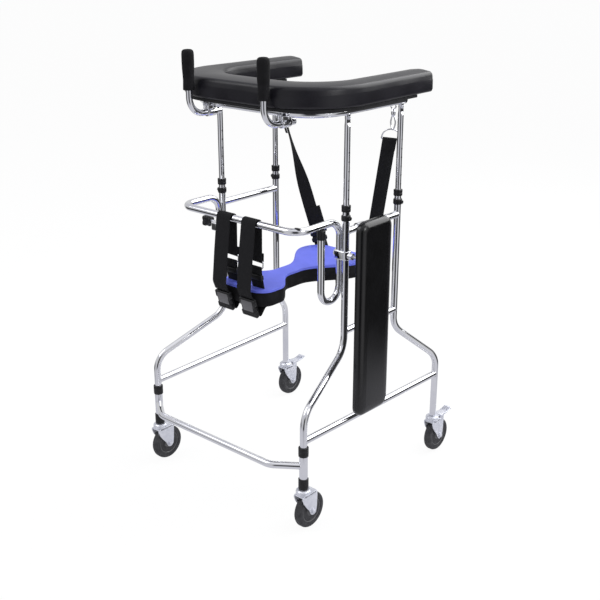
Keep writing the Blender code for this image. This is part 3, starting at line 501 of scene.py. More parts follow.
def stacked(outline, levels, axes=(0, 1, 2)):
    """Rings of a flat outline, each at a depth and moved in by an inset. Axes names the
    outline's two axes and the depth's."""
    grid = np.empty((len(levels), len(outline), 3))
    for ring, (depth, amount) in zip(grid, levels):
        ring[:, axes[:2]] = inset(outline, amount)
        ring[:, axes[2]] = depth
    return grid


def plate(outline, low, high, edge, corner, axes):
    """A flat plate with rounded corners and edges. The outline runs anticlockwise as
    seen from the high side."""
    flat = soften(outline, corner, closed=True)[:, :2]
    turn = np.linspace(0, np.pi / 2, 4)
    levels = [(low + edge * (1 - math.sin(t)), edge * (1 - math.cos(t))) for t in turn[::-1]]
    levels += [(high - edge * (1 - math.sin(t)), edge * (1 - math.cos(t))) for t in turn]
    return stacked(flat, levels, axes)


def hexagon(x, y, z, start, stop, across):
    """A hexagon nut or bolt head on an axis along X, its flats upright."""
    a = np.radians(np.arange(6) * 60 + 30)
    points = np.stack([y + across * np.cos(a), z + across * np.sin(a)], 1)
    return plate(points, start, stop, 0.0005, 0.0003, (1, 2, 0))


wheel_r, trail, fork_half, cheek_thick = 0.05, 0.022, 0.0163, 0.003
cheek = [(-0.02, 0.106), (-0.0205, 0.099), (-0.015, 0.085), (-0.005, 0.07), (0.006, 0.057),
         (0.011, 0.046), (0.016, 0.04), (0.022, 0.038), (0.029, 0.0405), (0.034, 0.047),
         (0.036, 0.06), (0.038, 0.09)]
for tag, e, s in corners_of:
    x, y = foot_x[e] * s, foot_y[e]
    outline = cheek + ([(0.038, 0.1165), (0.0255, 0.1165), (0.0215, 0.106)] if e
                       else [(0.038, 0.106)])
    outline = [(y + u, z) for u, z in outline]
    shells = [(plate(outline, x + low, x + low + cheek_thick, 0.0007, 0.003, (1, 2, 0)), zinc)
              for low in (fork_half - cheek_thick, -fork_half)]
    crown = box(x - fork_half, x + fork_half, y - 0.019, y + (0.0225 if e else 0.038))
    shells += [(plate(crown, 0.1023, 0.1062, 0.0008, 0.006, (0, 1, 2)), zinc),
               (turned("z", (x, y, 0), [(0.105, 0.0165), (0.1064, 0.0185), (0.1072, 0.02),
                                        (0.1108, 0.02), (0.1112, 0.019), (0.112, 0.019),
                                        (0.1124, 0.0203), (0.1168, 0.0198), (0.12, 0.0165),
                                        (0.12, 0.0052), (0.159, 0.005)]), zinc)]
    make(f"caster_fork_plates_{tag}", f"caster_{tag}", [f"caster_fork_{tag}"], shells)

    hub = (x, y + trail, wheel_r)
    rubber = even([(-0.0085, 0.034), (-0.0112, 0.0345), (-0.0112, 0.044),
                   (-0.0092, 0.048), (-0.005, wheel_r)])
    centre = even([(-0.0128, 0.0062), (-0.0128, 0.0125), (-0.01, 0.0145), (-0.0072, 0.018),
                   (-0.0072, 0.03), (-0.0098, 0.0325), (-0.0098, 0.0345)])
    make(f"tyre_and_hub_{tag}", f"wheel_body_{tag}", [f"wheel_{tag}"],
         [(turned("x", hub, rubber, 72, 0.003), tyre),
          (turned("x", hub, centre, 72, 0.0012), nylon)])

    face = 0.0166
    shells = [(turned("x", hub, [(-face - 0.0012, 0.0086), (-face, 0.0088)], 40, 0), zinc),
              (turned("x", hub, [(face, 0.0088), (face + 0.0012, 0.0086)], 40, 0), zinc),
              (turned("x", hub, even([(-0.0209, 0.003), (-0.0205, 0.0044)])), zinc),
              (hexagon(*hub, x - 0.0203, x - face - 0.001, 0.0072), zinc),
              (hexagon(*hub, x + face + 0.001, x + 0.0203, 0.0072), zinc)]
    make(f"axle_bolt_{tag}", f"caster_{tag}", [f"axle_{tag}"], shells)

    if e:
        lever = [(0.0265, 0.1085), (0.0335, 0.102), (0.0385, 0.102), (0.042, 0.108),
                 (0.058, 0.1095), (0.073, 0.1115), (0.086, 0.116), (0.085, 0.119),
                 (0.072, 0.1147), (0.057, 0.1127), (0.034, 0.1155), (0.0265, 0.114)]
        shells = [(plate([(y + u, z) for u, z in lever], x - 0.0128, x + 0.0128, 0.0008, 0.0012,
                         (1, 2, 0)), zinc),
                  (turned("x", (0, y + 0.031, 0.111),
                          [(x - 0.0166, 0.0022), (x + 0.0166, 0.0022)]), zinc)]
        for t in np.arange(6) / 5:
            rib = y + 0.059 + 0.021 * t, 0.1128 + 0.0048 * t
            shells.append((tube(np.array([[x - 0.0118, *rib], [x + 0.0118, *rib]]), 0.0009,
                                8, (0, 0, 1)), zinc))
        make(f"brake_pedal_plate_{tag}", f"pedal_{tag}", [f"brake_pedal_{tag}"], shells)

# ---- Height posts and spring clips -----------------------------------------------
# Four thinner chromed posts slide in the legs, pressed flat and bolted under the ring. Each
# is drilled with holes, drawn as dark discs of painted shade. A pin with a black thumb
# button, in a band on the leg, locks it.


def dark_look(place):
    """The shadow inside a drilled hole, a little oily."""
    cloud = noise(place, 300, 3)
    return {"Base Color": cloud.mix((0.006, 0.006, 0.007), (0.02, 0.019, 0.02)),
            "Roughness": cloud * 0.2 + 0.55}


def smooth(x):
    """A rise from 0 to 1 that starts and ends level: 3 t^2 - 2 t^3."""
    t = np.clip(x, 0, 1)
    return t * t * (3 - 2 * t)


hole_shade = finish("painted_hole_shade", dark_look)
ring_z, post_r, hole_top, hole_pitch = 1.065, 0.008, 0.962, 0.024


def hole(x, y, z, tube_r, radius, way):
    """A drilled hole drawn as painted shade: dark discs of radius c laid on the tube's own
    surface, at x + way sqrt(tube_r^2 - c^2 cos^2 a), the last one sunk to close the pole."""
    a = circle(20) * way
    reach = np.array([radius + 0.0004, radius, radius * 0.9, radius * 0.3])[:, None]
    proud = np.array([-0.0002, 0.00015, 0.00008, 0.00006])[:, None]
    return np.stack([x + way * (np.sqrt(tube_r ** 2 - (reach * np.cos(a)) ** 2) + proud),
                     y + reach * np.cos(a), z + reach * np.sin(a)], -1)


for tag, e, s in corners_of:
    x, y = post_x * s, post_y[e]
    heights = np.concatenate([np.linspace(0.7, ring_z - 0.044, 10),
                              ring_z - 0.044 + 0.004 * np.arange(1, 6), [ring_z - 0.003]])
    column = tube(np.stack([x + 0 * heights, y + 0 * heights, heights], 1), post_r)
    pressed = smooth((heights - ring_z + 0.042) / 0.016)[:, None]
    thin = post_r - (post_r - 0.0036) * pressed
    column[..., 0] = x + np.clip(column[..., 0] - x, -thin, thin)
    shells = [(column, chrome),
              (turned("x", (x, y, ring_z - 0.0165),
                      even([(-0.0066, 0.003), (-0.0062, 0.0044), (-0.0034, 0.0048)]), 20, 0.0004),
               zinc),
              (bead((x, y, ring_z), (0, 0, -1), leg_r, post_r, (0, 1, 0)), chrome, True)]
    # Each hole is a dark disc of painted shade laid on the post, not a cut through it.
    for z in hole_top - hole_pitch * np.arange(6):
        shells += [(hole(x, y, z, post_r, 0.003, way), hole_shade) for way in (1, -1)]
    make(f"height_post_tube_{tag}", "upper", [f"height_post_{tag}"], shells)

    shells = [(turned("x", (post_x, y, clip_z), [(0.0086, 0.0026), (0.0128, 0.0026)], 16), zinc),
              (turned("x", (post_x, y, clip_z),
                      [(0.0126, 0.004), (0.0126, 0.0052), (0.0156, 0.0051), (0.0168, 0.0034)], 24,
                      0.0012), black_plastic)]
    make(f"spring_clip_button_{tag}", f"clip_{tag}", [f"spring_clip_{tag}"],
         shells, flip=s < 0)

# ---- Ring under the pad ----------------------------------------------------------
# A U-shaped chromed tube welded on the four posts carries the pad's board. Black plugs
# close its two ends.

ring_front, ring_rear = -0.183, 0.178
line = bend([(post_x, ring_rear, ring_z), (post_x, ring_front, ring_z),
             (-post_x, ring_front, ring_z), (-post_x, ring_rear, ring_z)], [0.108, 0.108], 4)
shells = [(tube(line, leg_r, side=(0, 0, 1)), chrome)]
for s in (1, -1):
    shells.append((turned("y", (s * post_x, 0, ring_z),
                          [(0.177, 0.0085), (0.1785, 0.0099), (0.1825, 0.0099),
                           (0.1848, 0.0072)]), black_plastic))
make("arm_ring_tube", "upper", ["arm_ring"], shells)

# ---- Pad board -------------------------------------------------------------------
# A thin board, painted black, is cut to the pad's shape and sits on the ring. A bent
# wire staple under each rear corner takes a snap hook.


def board_look(place):
    """Black paint over plywood: the grain still shows faintly along the arms."""
    grain = noise(place.node("Mapping", {"Vector": place, "Scale": (60, 6, 60)}), 1.0, 5.0)
    return {"Base Color": grain.mix((0.006, 0.006, 0.007), (0.014, 0.014, 0.016)),
            "Specular IOR Level": 0.25, "Roughness": grain * 0.25 + 0.45,
            "Normal": bump(grain, 0.2, 0.0005)}


painted_board = finish("black_painted_board", board_look)


def u_shape(half_width, front_y, radius, end_y, toe, steps=26):
    """Half of a U in plan, from the arm's end to the middle of the front: a straight arm
    that closes in by the toe, a quarter round, and half of the front run."""
    k = np.linspace(0, 1, 14)[:-1]
    arm = np.stack([half_width - toe * (1 - k), end_y + (front_y + radius - end_y) * k], 1)
    a = np.linspace(0, np.pi / 2, steps)
    arc = np.stack([half_width - radius + radius * np.cos(a),
                    front_y + radius - radius * np.sin(a)], 1)
    run = np.linspace(half_width - radius, 0, 8)[1:]
    return np.vstack([arm, arc, np.stack([run, front_y + 0 * run], 1)])


def whole_u(half):
    """Both halves of a U, from the right arm's end to the left one's."""
    return np.vstack([half, half[-2::-1] * [-1, 1]])


outer = whole_u(u_shape(0.272, -0.232, 0.166, 0.182, 0.006))
inner = whole_u(u_shape(0.198, -0.14, 0.125, 0.182, 0.006))
outline = np.vstack([inner, outer[::-1]])
hook_at, board_low, board_high = (0.203, 0.165), 1.0748, 1.082
turn = np.linspace(0, np.pi / 2, 4)
levels = [(board_low + 0.001 * (1 - math.sin(t)), 0.001 * (1 - math.cos(t)))
          for t in turn[::-1]] + [(board_high, 0.0)]
shells = [(stacked(outline, levels), painted_board)]
for s in (1, -1):
    x, y = hook_at[0] * s, hook_at[1]
    rear, front, low, high = y + 0.009, y - 0.009, 1.051, board_low + 0.0017
    staple = bend([(x, front, high), (x, front, low), (x, rear, low), (x, rear, high)],
                  [0.005, 0.005], 15)
    shells.append((tube(staple, 0.002, 14), chrome))
make("pad_board", "upper", ["pad_base"], shells)

# ---- Forearm pad -----------------------------------------------------------------
# A thick foam U in black vinyl, stapled under the board. The top is slightly crowned,
# the edges are soft rolls, and the vinyl draws into small creases at the arms' ends.


def vinyl_look(place, low=(0.006, 0.0056, 0.0085), high=(0.01, 0.0094, 0.0135), gloss=0.26,
               shine=0.35):
    """Black vinyl: an embossed leather grain of small cells, a soft sheen, and a slow
    change in how much it has been rubbed."""
    cells = place.node("TexVoronoi", {"Vector": place, "Scale": 520.0}, feature="SMOOTH_F1")
    rub = noise(place, 11, 4, 0.55)
    pores = noise(place, 1400, 2)
    return {"Base Color": rub.step(0.35, 0.75).mix(low, high), "Specular IOR Level": shine,
            "Roughness": rub * 0.12 + cells * 0.06 + gloss,
            "Normal": bump(cells * 0.8 + pores * 0.3, 0.14, 0.0005)}


pad_vinyl = finish("black_vinyl", vinyl_look)
pad_outer, pad_inner = (0.278, -0.238, 0.176), (0.195, -0.137, 0.128)
pad_low, pad_high = 1.0823, 1.1383
outer = whole_u(u_shape(*pad_outer, 0.242, 0.0079, 34))
inner = whole_u(u_shape(*pad_inner, 0.242, 0.0079, 34))
t = np.radians(np.arange(0, 91, 10.0))
rows = np.concatenate([np.arange(len(t)) * 0, np.arange(1, len(outer) - 1),
                       np.arange(len(t)) * 0 + len(outer) - 1])
lift = np.concatenate([0.008 * np.cos(t), np.zeros(len(outer) - 2), 0.008 * np.cos(t[::-1])])
tuck = np.concatenate([0.005 * (1 - np.sin(t)), np.zeros(len(outer) - 2),
                       0.005 * (1 - np.sin(t[::-1]))])
p, q = [np.column_stack([side[rows], np.zeros(len(rows))]) + lift[:, None] * [0, 1, 0]
        for side in (outer, inner)]
width, tuck = np.linalg.norm(p - q, axis=1)[:, None], tuck[:, None]
half, across = width / 2, (p - q) / width
tall = pad_high - pad_low
edge = soften([(0.03, 0.0), (0.0045, 0.0), (0.0, 0.006), (0.0, tall * 0.6),
               (0.003, tall - 0.0035), (0.026, tall - 0.0005)], 0.0125, step=9)[:, :2]
crown = np.linspace(0, 1, 9)[1:]
near = np.concatenate([edge[:, 0] + 0 * width, 0.026 + (half - 0.026) * crown], 1)
rise = np.concatenate([edge[:, 1], tall - 0.0005 + 0.0013 * np.sin(crown * np.pi / 2)])
near = near * (half - tuck) / half + tuck
left = q[:, None] + across[:, None] * near[..., None]
right = p[:, None] - across[:, None] * near[..., None]
section = np.concatenate([left, right[:, -2::-1]], 1)
heights = np.concatenate([rise, rise[-2::-1]])
arc = np.cumsum(np.append(0, np.linalg.norm(np.diff((p + q) / 2, axis=0), axis=1)))
reach = np.minimum(arc, arc[-1] - arc)
crease = np.exp(-reach / 0.02)[:, None] * np.sin(heights[None, :] * 640 + 1.3)
slack = 0.0006 * np.sin(arc[:, None] * 47 + heights[None, :] * 90) + 0.0011 * crease
side_share = np.clip(1 - np.abs(heights[None, :] / tall - 0.5) * 2, 0, 1)
middle = section.mean(1, keepdims=True)
section = section + (section - middle) / half[..., None] * (slack * side_share)[..., None]
section[..., 2] = pad_low + heights - tuck * 0.9 * (heights / tall)
pad = make("forearm_pad_vinyl", "upper", ["forearm_pad"],
           [(section[:, ::-1], pad_vinyl)], 50)

# ---- Handles ---------------------------------------------------------------------
# Two chromed rods slide in clamps under the front of the ring and turn up in front of
# the pad. Each has a moulded foam grip, thicker above and flared at its lower end.


def foam_look(place, low=(0.0048, 0.0047, 0.0057), high=(0.009, 0.0088, 0.0104), size=700.0):
    """Moulded foam: matt black with fine open pores and faint handling marks."""
    pores = place.node("TexVoronoi", {"Vector": place, "Scale": size})
    marks = noise(place, 45, 4)
    return {"Base Color": marks.step(0.35, 0.75).mix(low, high), "Specular IOR Level": 0.15,
            "Roughness": marks * 0.18 + 0.62, "Normal": bump(pores, 0.3, 0.0005)}


foam_grip = finish("black_foam", foam_look)
handle_x, handle_y, rod_r, rod_low = 0.13, -0.258, 0.0085, 1.041
jaw_r, clamp_top = 0.0118, 1.06
for side, s in sides_of.items():
    line = bend([(handle_x, -0.15, rod_low), (handle_x, handle_y, rod_low),
                 (handle_x, handle_y, 1.195)], [0.045], 4)
    _, across, up = carried(line[:2], (1, 0, 0))
    mouth = [rings(line[:1] + [0, d, 0], across[:1], up[:1], r, 32)
             for d, r in [(-0.022, 0.0068), (-0.0008, 0.007), (-0.0003, 0.0076)]]
    make(f"handle_rod_tube_{side}", f"handle_{side}", [f"handle_rod_{side}"],
         [(np.concatenate([*mouth, tube(line, rod_r)]), chrome)], flip=s < 0)

    profile = [(1.104, 0.0088), (1.104, 0.0136), (1.1048, 0.0149), (1.113, 0.0147),
               (1.126, 0.0141), (1.14, 0.0145), (1.156, 0.0155), (1.174, 0.0159),
               (1.193, 0.0158), (1.2005, 0.0148), (1.2042, 0.0112), (1.2052, 0.004)]
    make(f"grip_foam_{side}", f"handle_{side}", [f"grip_{side}"],
         [(turned("z", (handle_x * s, handle_y, 0), profile, 48, 0.006), foam_grip)])

    x, a = handle_x * s, np.radians(np.linspace(132, 408, 24)) - np.pi / 2
    jaw = np.column_stack([rod_low + jaw_r * np.cos(a), x - jaw_r * np.sin(a)])
    jaw = np.vstack([jaw[::-1], [(clamp_top, x - 0.0085), (clamp_top, x + 0.0085)]])
    shells = [(plate(jaw, -0.2, -0.168, 0.0016, 0.0015, (2, 0, 1)), chrome),
              (turned("z", (x, -0.2035, 0), [(1.044, 0.0045), (clamp_top, 0.0045)], 24), chrome),
              (turned("z", (x, -0.2035, 0), [(1.059, 0.0058), (1.064, 0.006), (1.0676, 0.0046)],
                      24, 0.0012), zinc)]
    make(f"handle_clamp_block_{side}", "upper", [f"handle_clamp_{side}"], shells)

# ---- Guard bar -------------------------------------------------------------------
# One chromed tube across the front, level with the waist. On the right it goes back, down
# and up again as a capped hairpin, and on the left it goes back and down. A moulded
# saddle with a bolt grips each front leg.

guard_x, guard_y, guard_top, left_x, left_y = 0.205, (-0.131, -0.057), 0.782, 0.213, -0.085
guard_front, leg_y, hairpin_low = -0.225, post_y[0], 0.569
line = bend([(guard_x, guard_y[0], 0.77), (guard_x, guard_y[0], hairpin_low),
             (guard_x, guard_y[1], hairpin_low), (guard_x, guard_y[1], guard_top),
             (guard_x, guard_front, guard_top), (-left_x, guard_front, guard_top),
             (-left_x, left_y, guard_top), (-left_x, left_y, 0.655)],
            [0.037, 0.037, 0.042, 0.04, 0.04, 0.042], 4)
saddle_z, knob_z = (0.68, 0.704), 0.692
shells = [(tube(line, leg_r), chrome),
          (turned("z", (guard_x, guard_y[0], 0),
                  [(0.746, 0.0097), (0.746, 0.011), (0.769, 0.011), (0.772, 0.008)], 36, 0.0022),
           black_plastic)]
for s, run_x, run_y in [(1, guard_x, guard_y[1]), (-1, left_x, left_y)]:
    mid, reach = (run_x + post_x) / 2, (post_x - run_x) / 2 + leg_r + 0.0035
    inner = mid - reach
    block = box(inner, mid + reach, min(run_y, leg_y) - 0.0135, max(run_y, leg_y) + 0.0135)
    parts = [(plate(block, *saddle_z, 0.003, 0.0105, (0, 1, 2)), chrome),
             (turned("x", (0, leg_y, knob_z), [(post_x, 0.0086), (post_x + 0.025, 0.0086)], 32,
                     0.0012), chrome),
             (turned("x", (0, leg_y, knob_z),
                     [(inner - 0.004, 0.003), (inner - 0.0036, 0.0058), (inner + 0.001, 0.006)],
                     24), zinc)]
    if s < 0:
        parts = [(mirrored(grid), material) for grid, material in parts]
    shells += parts
a = circle(24) + 0.9
plug = np.stack([np.stack([0.196 + r * 0.0095 * np.cos(a), -0.2125 + r * 0.0052 * np.sin(a),
                           guard_top + h + 0 * a], 1)
                 for r, h in [(1.0, 0.007), (1.0, 0.0092), (0.85, 0.01), (0.4, 0.0104)]])
shells.append((plug, black_plastic))
make("guard_bar_tube", "frame", ["guard_bar"], shells)

# ---- Star knobs ------------------------------------------------------------------
# A black knob with five lobes at each side tightens the saddle on the leg. Its steel
# stud shows between the knob and the saddle.

for side, s in sides_of.items():
    a = circle(80)
    wave = (1 - np.cos(5 * a)) / 2
    levels = [(0.274, 0.0085, 0.0), (0.2752, 0.0098, 0.0), (0.28, 0.011, 0.0),
              (0.2812, 0.0145, 0.0018), (0.2822, 0.019, 0.0048), (0.285, 0.0212, 0.0056),
              (0.29, 0.0215, 0.0058), (0.2945, 0.0208, 0.0054), (0.297, 0.0182, 0.0044),
              (0.298, 0.014, 0.0024), (0.2976, 0.008, 0.0), (0.2972, 0.003, 0.0)]
    star = np.stack([np.stack([x + 0 * a, leg_y + (r - d * wave) * np.cos(a),
                               knob_z + (r - d * wave) * np.sin(a)], 1) for x, r, d in levels])
    shells = [(star, black_plastic),
              (turned("x", (0, leg_y, knob_z),
                      [(0.2362, 0.0036), (0.2366, 0.0039), (0.276, 0.0039)], 24, 0.0003), zinc)]
    make(f"star_knob_lobes_{side}", f"knob_{side}", [f"star_knob_{side}"],
         shells, 50, flip=s < 0)

# ---- Seat ------------------------------------------------------------------------
# A saddle of thick black foam, cut to an hourglass, under a thinner blue foam skin. Two
# webbing tabs rise from it to the steel links of the front straps.


def blue_look(place):
    """Blue foam skin: matt, with closed pores and a slightly uneven colour."""
    pores = place.node("TexVoronoi", {"Vector": place, "Scale": 900.0})
    cloud = noise(place, 26, 4)
    return {"Base Color": cloud.step(0.3, 0.8).mix((0.104, 0.134, 0.665), (0.132, 0.164, 0.745)),
            "Roughness": cloud * 0.15 + 0.5, "Normal": bump(pores, 0.2, 0.0004)}


def webbing_look(place):
    """Woven nylon webbing: raised ribs across the strap, each split into threads that
    alternate, from the UV map's metres along and round."""
    metres = place.node("TexCoord", pick="UV")
    along, round_ = [place.node("SeparateXYZ", {"Vector": metres}, pick=k) for k in range(2)]
    threads = place.maths("SINE", round_ * (2 * math.pi / 0.0016))
    ribs = place.maths("SINE", along * (2 * math.pi / 0.0022) + threads * 1.4)
    fuzz = noise(place, 260, 3)
    weave = ribs * 0.5 + 0.5
    pale = weave * 0.6 + fuzz * 0.4
    return {"Base Color": pale.mix((0.005, 0.005, 0.0062), (0.0175, 0.0175, 0.0195)),
            "Specular IOR Level": 0.12, "Roughness": fuzz * 0.2 + 0.62,
            "Normal": bump(weave, 0.55, 0.0004)}


seat_foam = finish("black_seat_foam", foam_look, (0.006, 0.006, 0.007),
                   (0.011, 0.011, 0.0125), 480.0)
blue_skin = finish("blue_foam_skin", blue_look)
webbing = finish("black_webbing", webbing_look)


def seat_outline(steps=110):
    """The saddle in plan: half width = waist + two smooth swells, less a round at each
    end that leaves r - sqrt(r^2 - (r - d)^2)."""
    y = -0.0035 - 0.2185 * np.cos(np.linspace(0, np.pi, steps))

    def swell(start, stop):
        return smooth((y - start) / (stop - start))

    def closed(distance, r):
        d = np.minimum(distance, r)
        return r - np.sqrt(np.maximum(0, r * r - (r - d) ** 2))

    w = 0.026 + 0.058 * swell(-0.055, -0.15) + 0.081 * swell(-0.005, 0.15)
    w = w - closed(y + 0.222, 0.045) - closed(0.215 - y, 0.06)
    return np.vstack([np.stack([w, y], 1), np.stack([-w, y], 1)[::-1]])


outline = seat_outline()
strap_x, link_low, wire_r = 0.045, (-0.2095, 0.658), 0.0016
web = 0.0012
loop_r = wire_r + 0.0002 + web


def swept(line, across, up, half, thick, corner, size=1):
    """A flat section with rounded corners, carried along a line."""
    edge = soften(box(-half, half, -thick, thick), corner, True)
    return line[:, None] + (across[:, None] * edge[:, :1] + up[:, None] * edge[:, 1:2]) * size


def ribbon(line, wide, half):
    """Webbing along a line, with rounded selvedges. Its width is along X or, where wide
    gives one for each point, along that direction."""
    along, across, up = carried(line, (1, 0, 0))
    if wide is not None:
        across = unit(wide - along * (wide * along).sum(1)[:, None])
        up = np.cross(along, across)
    return swept(line, across, up, half, web, web * 0.8)


shells = [(stacked(outline, [(0.55, 0.006), (0.5504, 0.0036), (0.552, 0.0014), (0.555, 0.0003),
                 (0.56, 0.0), (0.585, 0.0), (0.5897, 0.0)]), seat_foam)]
for s in (1, -1):
    x, (y, z) = strap_x * s, link_low
    line = bend([(x, y + 0.015, 0.578), (x, y + 0.012, 0.6), (x, y + loop_r, z - 0.014),
                 (x, y + loop_r, z + loop_r), (x, y - loop_r, z + loop_r),
                 (x, y - loop_r, z - 0.014), (x, y + 0.0045, z - 0.028)],
                [0.03, 0.012, loop_r, loop_r, 0.006], 20)
    shells.append((ribbon(line, None, 0.022), webbing))
    slider = [(y - 0.003, z - 0.034), (y + 0.0075, z - 0.034), (y + 0.006, z - 0.02),
              (y - 0.0045, z - 0.02)]
    shells.append((plate(slider, x - 0.025, x + 0.025, 0.0012, 0.0022, (1, 2, 0)), black_plastic))
base = make("seat_foam_body", "frame", ["seat_base"], shells)
cushion = make("seat_blue_skin", "frame", ["seat_cushion"],
               [(stacked(outline, [(0.59, 0.0), (0.5945, -0.0001), (0.5966, 0.0006),
                                   (0.5976, 0.0018), (0.598, 0.0036), (0.5982, 0.01)]),
                 blue_skin)])

# ---- Front straps ----------------------------------------------------------------
# Two wide webbing straps hang from the guard bar. Each is hemmed round a steel link
# behind, and passes through a big side-release buckle under the seat's nose.


def buckle_look(place):
    """Grey moulded plastic, satin, with a fine spark-eroded grain."""
    grain, cloud = noise(place, 800, 2), noise(place, 60, 3)
    return {"Base Color": cloud.mix((0.075, 0.074, 0.08), (0.112, 0.11, 0.118)),
            "Roughness": cloud * 0.15 + 0.32, "Normal": bump(grain, 0.2, 0.0003)}


buckle_plastic = finish("grey_buckle_plastic", buckle_look)
tail_z, link_top = 0.5485, (-0.208, 0.6775)
for side, s in sides_of.items():
    x = strap_x * s
    over_r = leg_r + 0.0008 + web
    y, z = link_top
    top = guard_top + over_r
    route = [(y + loop_r, z + 0.022), (y + loop_r, z - loop_r), (y - loop_r, z - loop_r),
             (guard_front + over_r, top), (guard_front - over_r, top), (-0.247, 0.69),
             (-0.2535, 0.606), (-0.245, 0.584), (-0.2345, 0.578), (-0.2185, 0.522),
             (-0.197, tail_z), (-0.135, tail_z)]
    line = bend([(x, a, b) for a, b in route],
                [loop_r, loop_r, over_r, over_r, 0.2, 0.02, 0.008, 0.006, 0.006, 0.01], 12)
    line[:, 0] += 0.006 * np.clip((line[:, 2] - 0.6) / 0.18, 0, 1) * (line[:, 1] < -0.2)
    make(f"front_strap_webbing_{side}", "frame", [f"front_strap_{side}"],
         [(ribbon(line, None, 0.025), webbing)])

    half, r = 0.0285, 0.0045
    link = bend([(x, *link_top), (x + half, *link_top), (x + half, *link_low),
                 (x - half, *link_low), (x - half, *link_top), (x, *link_top)], [r] * 4, 18)[:-1]
    normal = np.cross((1, 0, 0), (0, link_low[0] - link_top[0], link_low[1] - link_top[1]))
    make(f"steel_link_wire_{side}", "frame", [f"steel_link_{side}"],
         [(wire(link, wire_r, 12, unit(normal)), chrome, True)])

    start, along = np.array([x, -0.2415, 0.5785]), unit(np.array([0, 0.016, -0.056]))
    across = np.array([1.0, 0, 0])
    up = np.cross(along, across)

    def lump(shape, corner=0.0016):
        """Sections across the buckle: (distance down, half width, half depth, offset)."""
        sections = []
        for d, w, t, off in shape:
            edge = soften(box(-w, w, -t, t), min(corner, t * 0.8), True)
            sections.append(start + along * d + across * edge[:, :1] + up * (edge[:, 1:2] + off))
        return np.stack(sections)

    body = [(0.0, 0.0251, 0.0026, 0), (0.001, 0.0265, 0.0042, 0), (0.003, 0.0273, 0.005, 0),
            (0.0185, 0.0273, 0.0052, 0), (0.0205, 0.0255, 0.005, 0), (0.0225, 0.0225, 0.0046, 0),
            (0.0345, 0.0225, 0.0046, 0), (0.037, 0.0251, 0.005, 0), (0.039, 0.0268, 0.0052, 0),
            (0.05, 0.0268, 0.005, 0), (0.053, 0.0262, 0.0042, 0), (0.055, 0.0245, 0.0028, 0)]
    shells = [(lump(body), black_plastic)]
    face = [(0.004, 0.0192, 0.0006, -0.0051), (0.0048, 0.0199, 0.001, -0.0051),
            (0.018, 0.0199, 0.001, -0.0053), (0.0215, 0.0181, 0.001, -0.0052),
            (0.036, 0.0181, 0.0009, -0.0049), (0.0368, 0.0173, 0.0006, -0.0049)]
    for way in (-1, 1):
        shells.append((lump([(d, w, t, way * o) for d, w, t, o in face], 0.0008), buckle_plastic))
    for d in 0.04 + 0.0032 * np.arange(4):
        ridge = start + along * d + np.array([[-1.0], [1.0]]) * across * 0.0224
        for way in (1, -1):
            shells.append((tube(ridge + up * way * 0.0051, 0.0007, 8, (0, 0, 1)), black_plastic))
    for way in (1, -1):
        catch = start + along * np.array([[0.0225], [0.035]]) + across * way * 0.0226
        shells.append((tube(catch, 0.0036, 12), black_plastic))
    make(f"buckle_body_{side}", "frame", [f"buckle_{side}"], shells, 45)

# ---- Rear straps and snap hooks --------------------------------------------------
# A webbing strap rises from each rear corner of the seat to a D ring, and a nickel snap
# hook hangs the ring on the board's staple. A folded end and an adjuster sit low down.

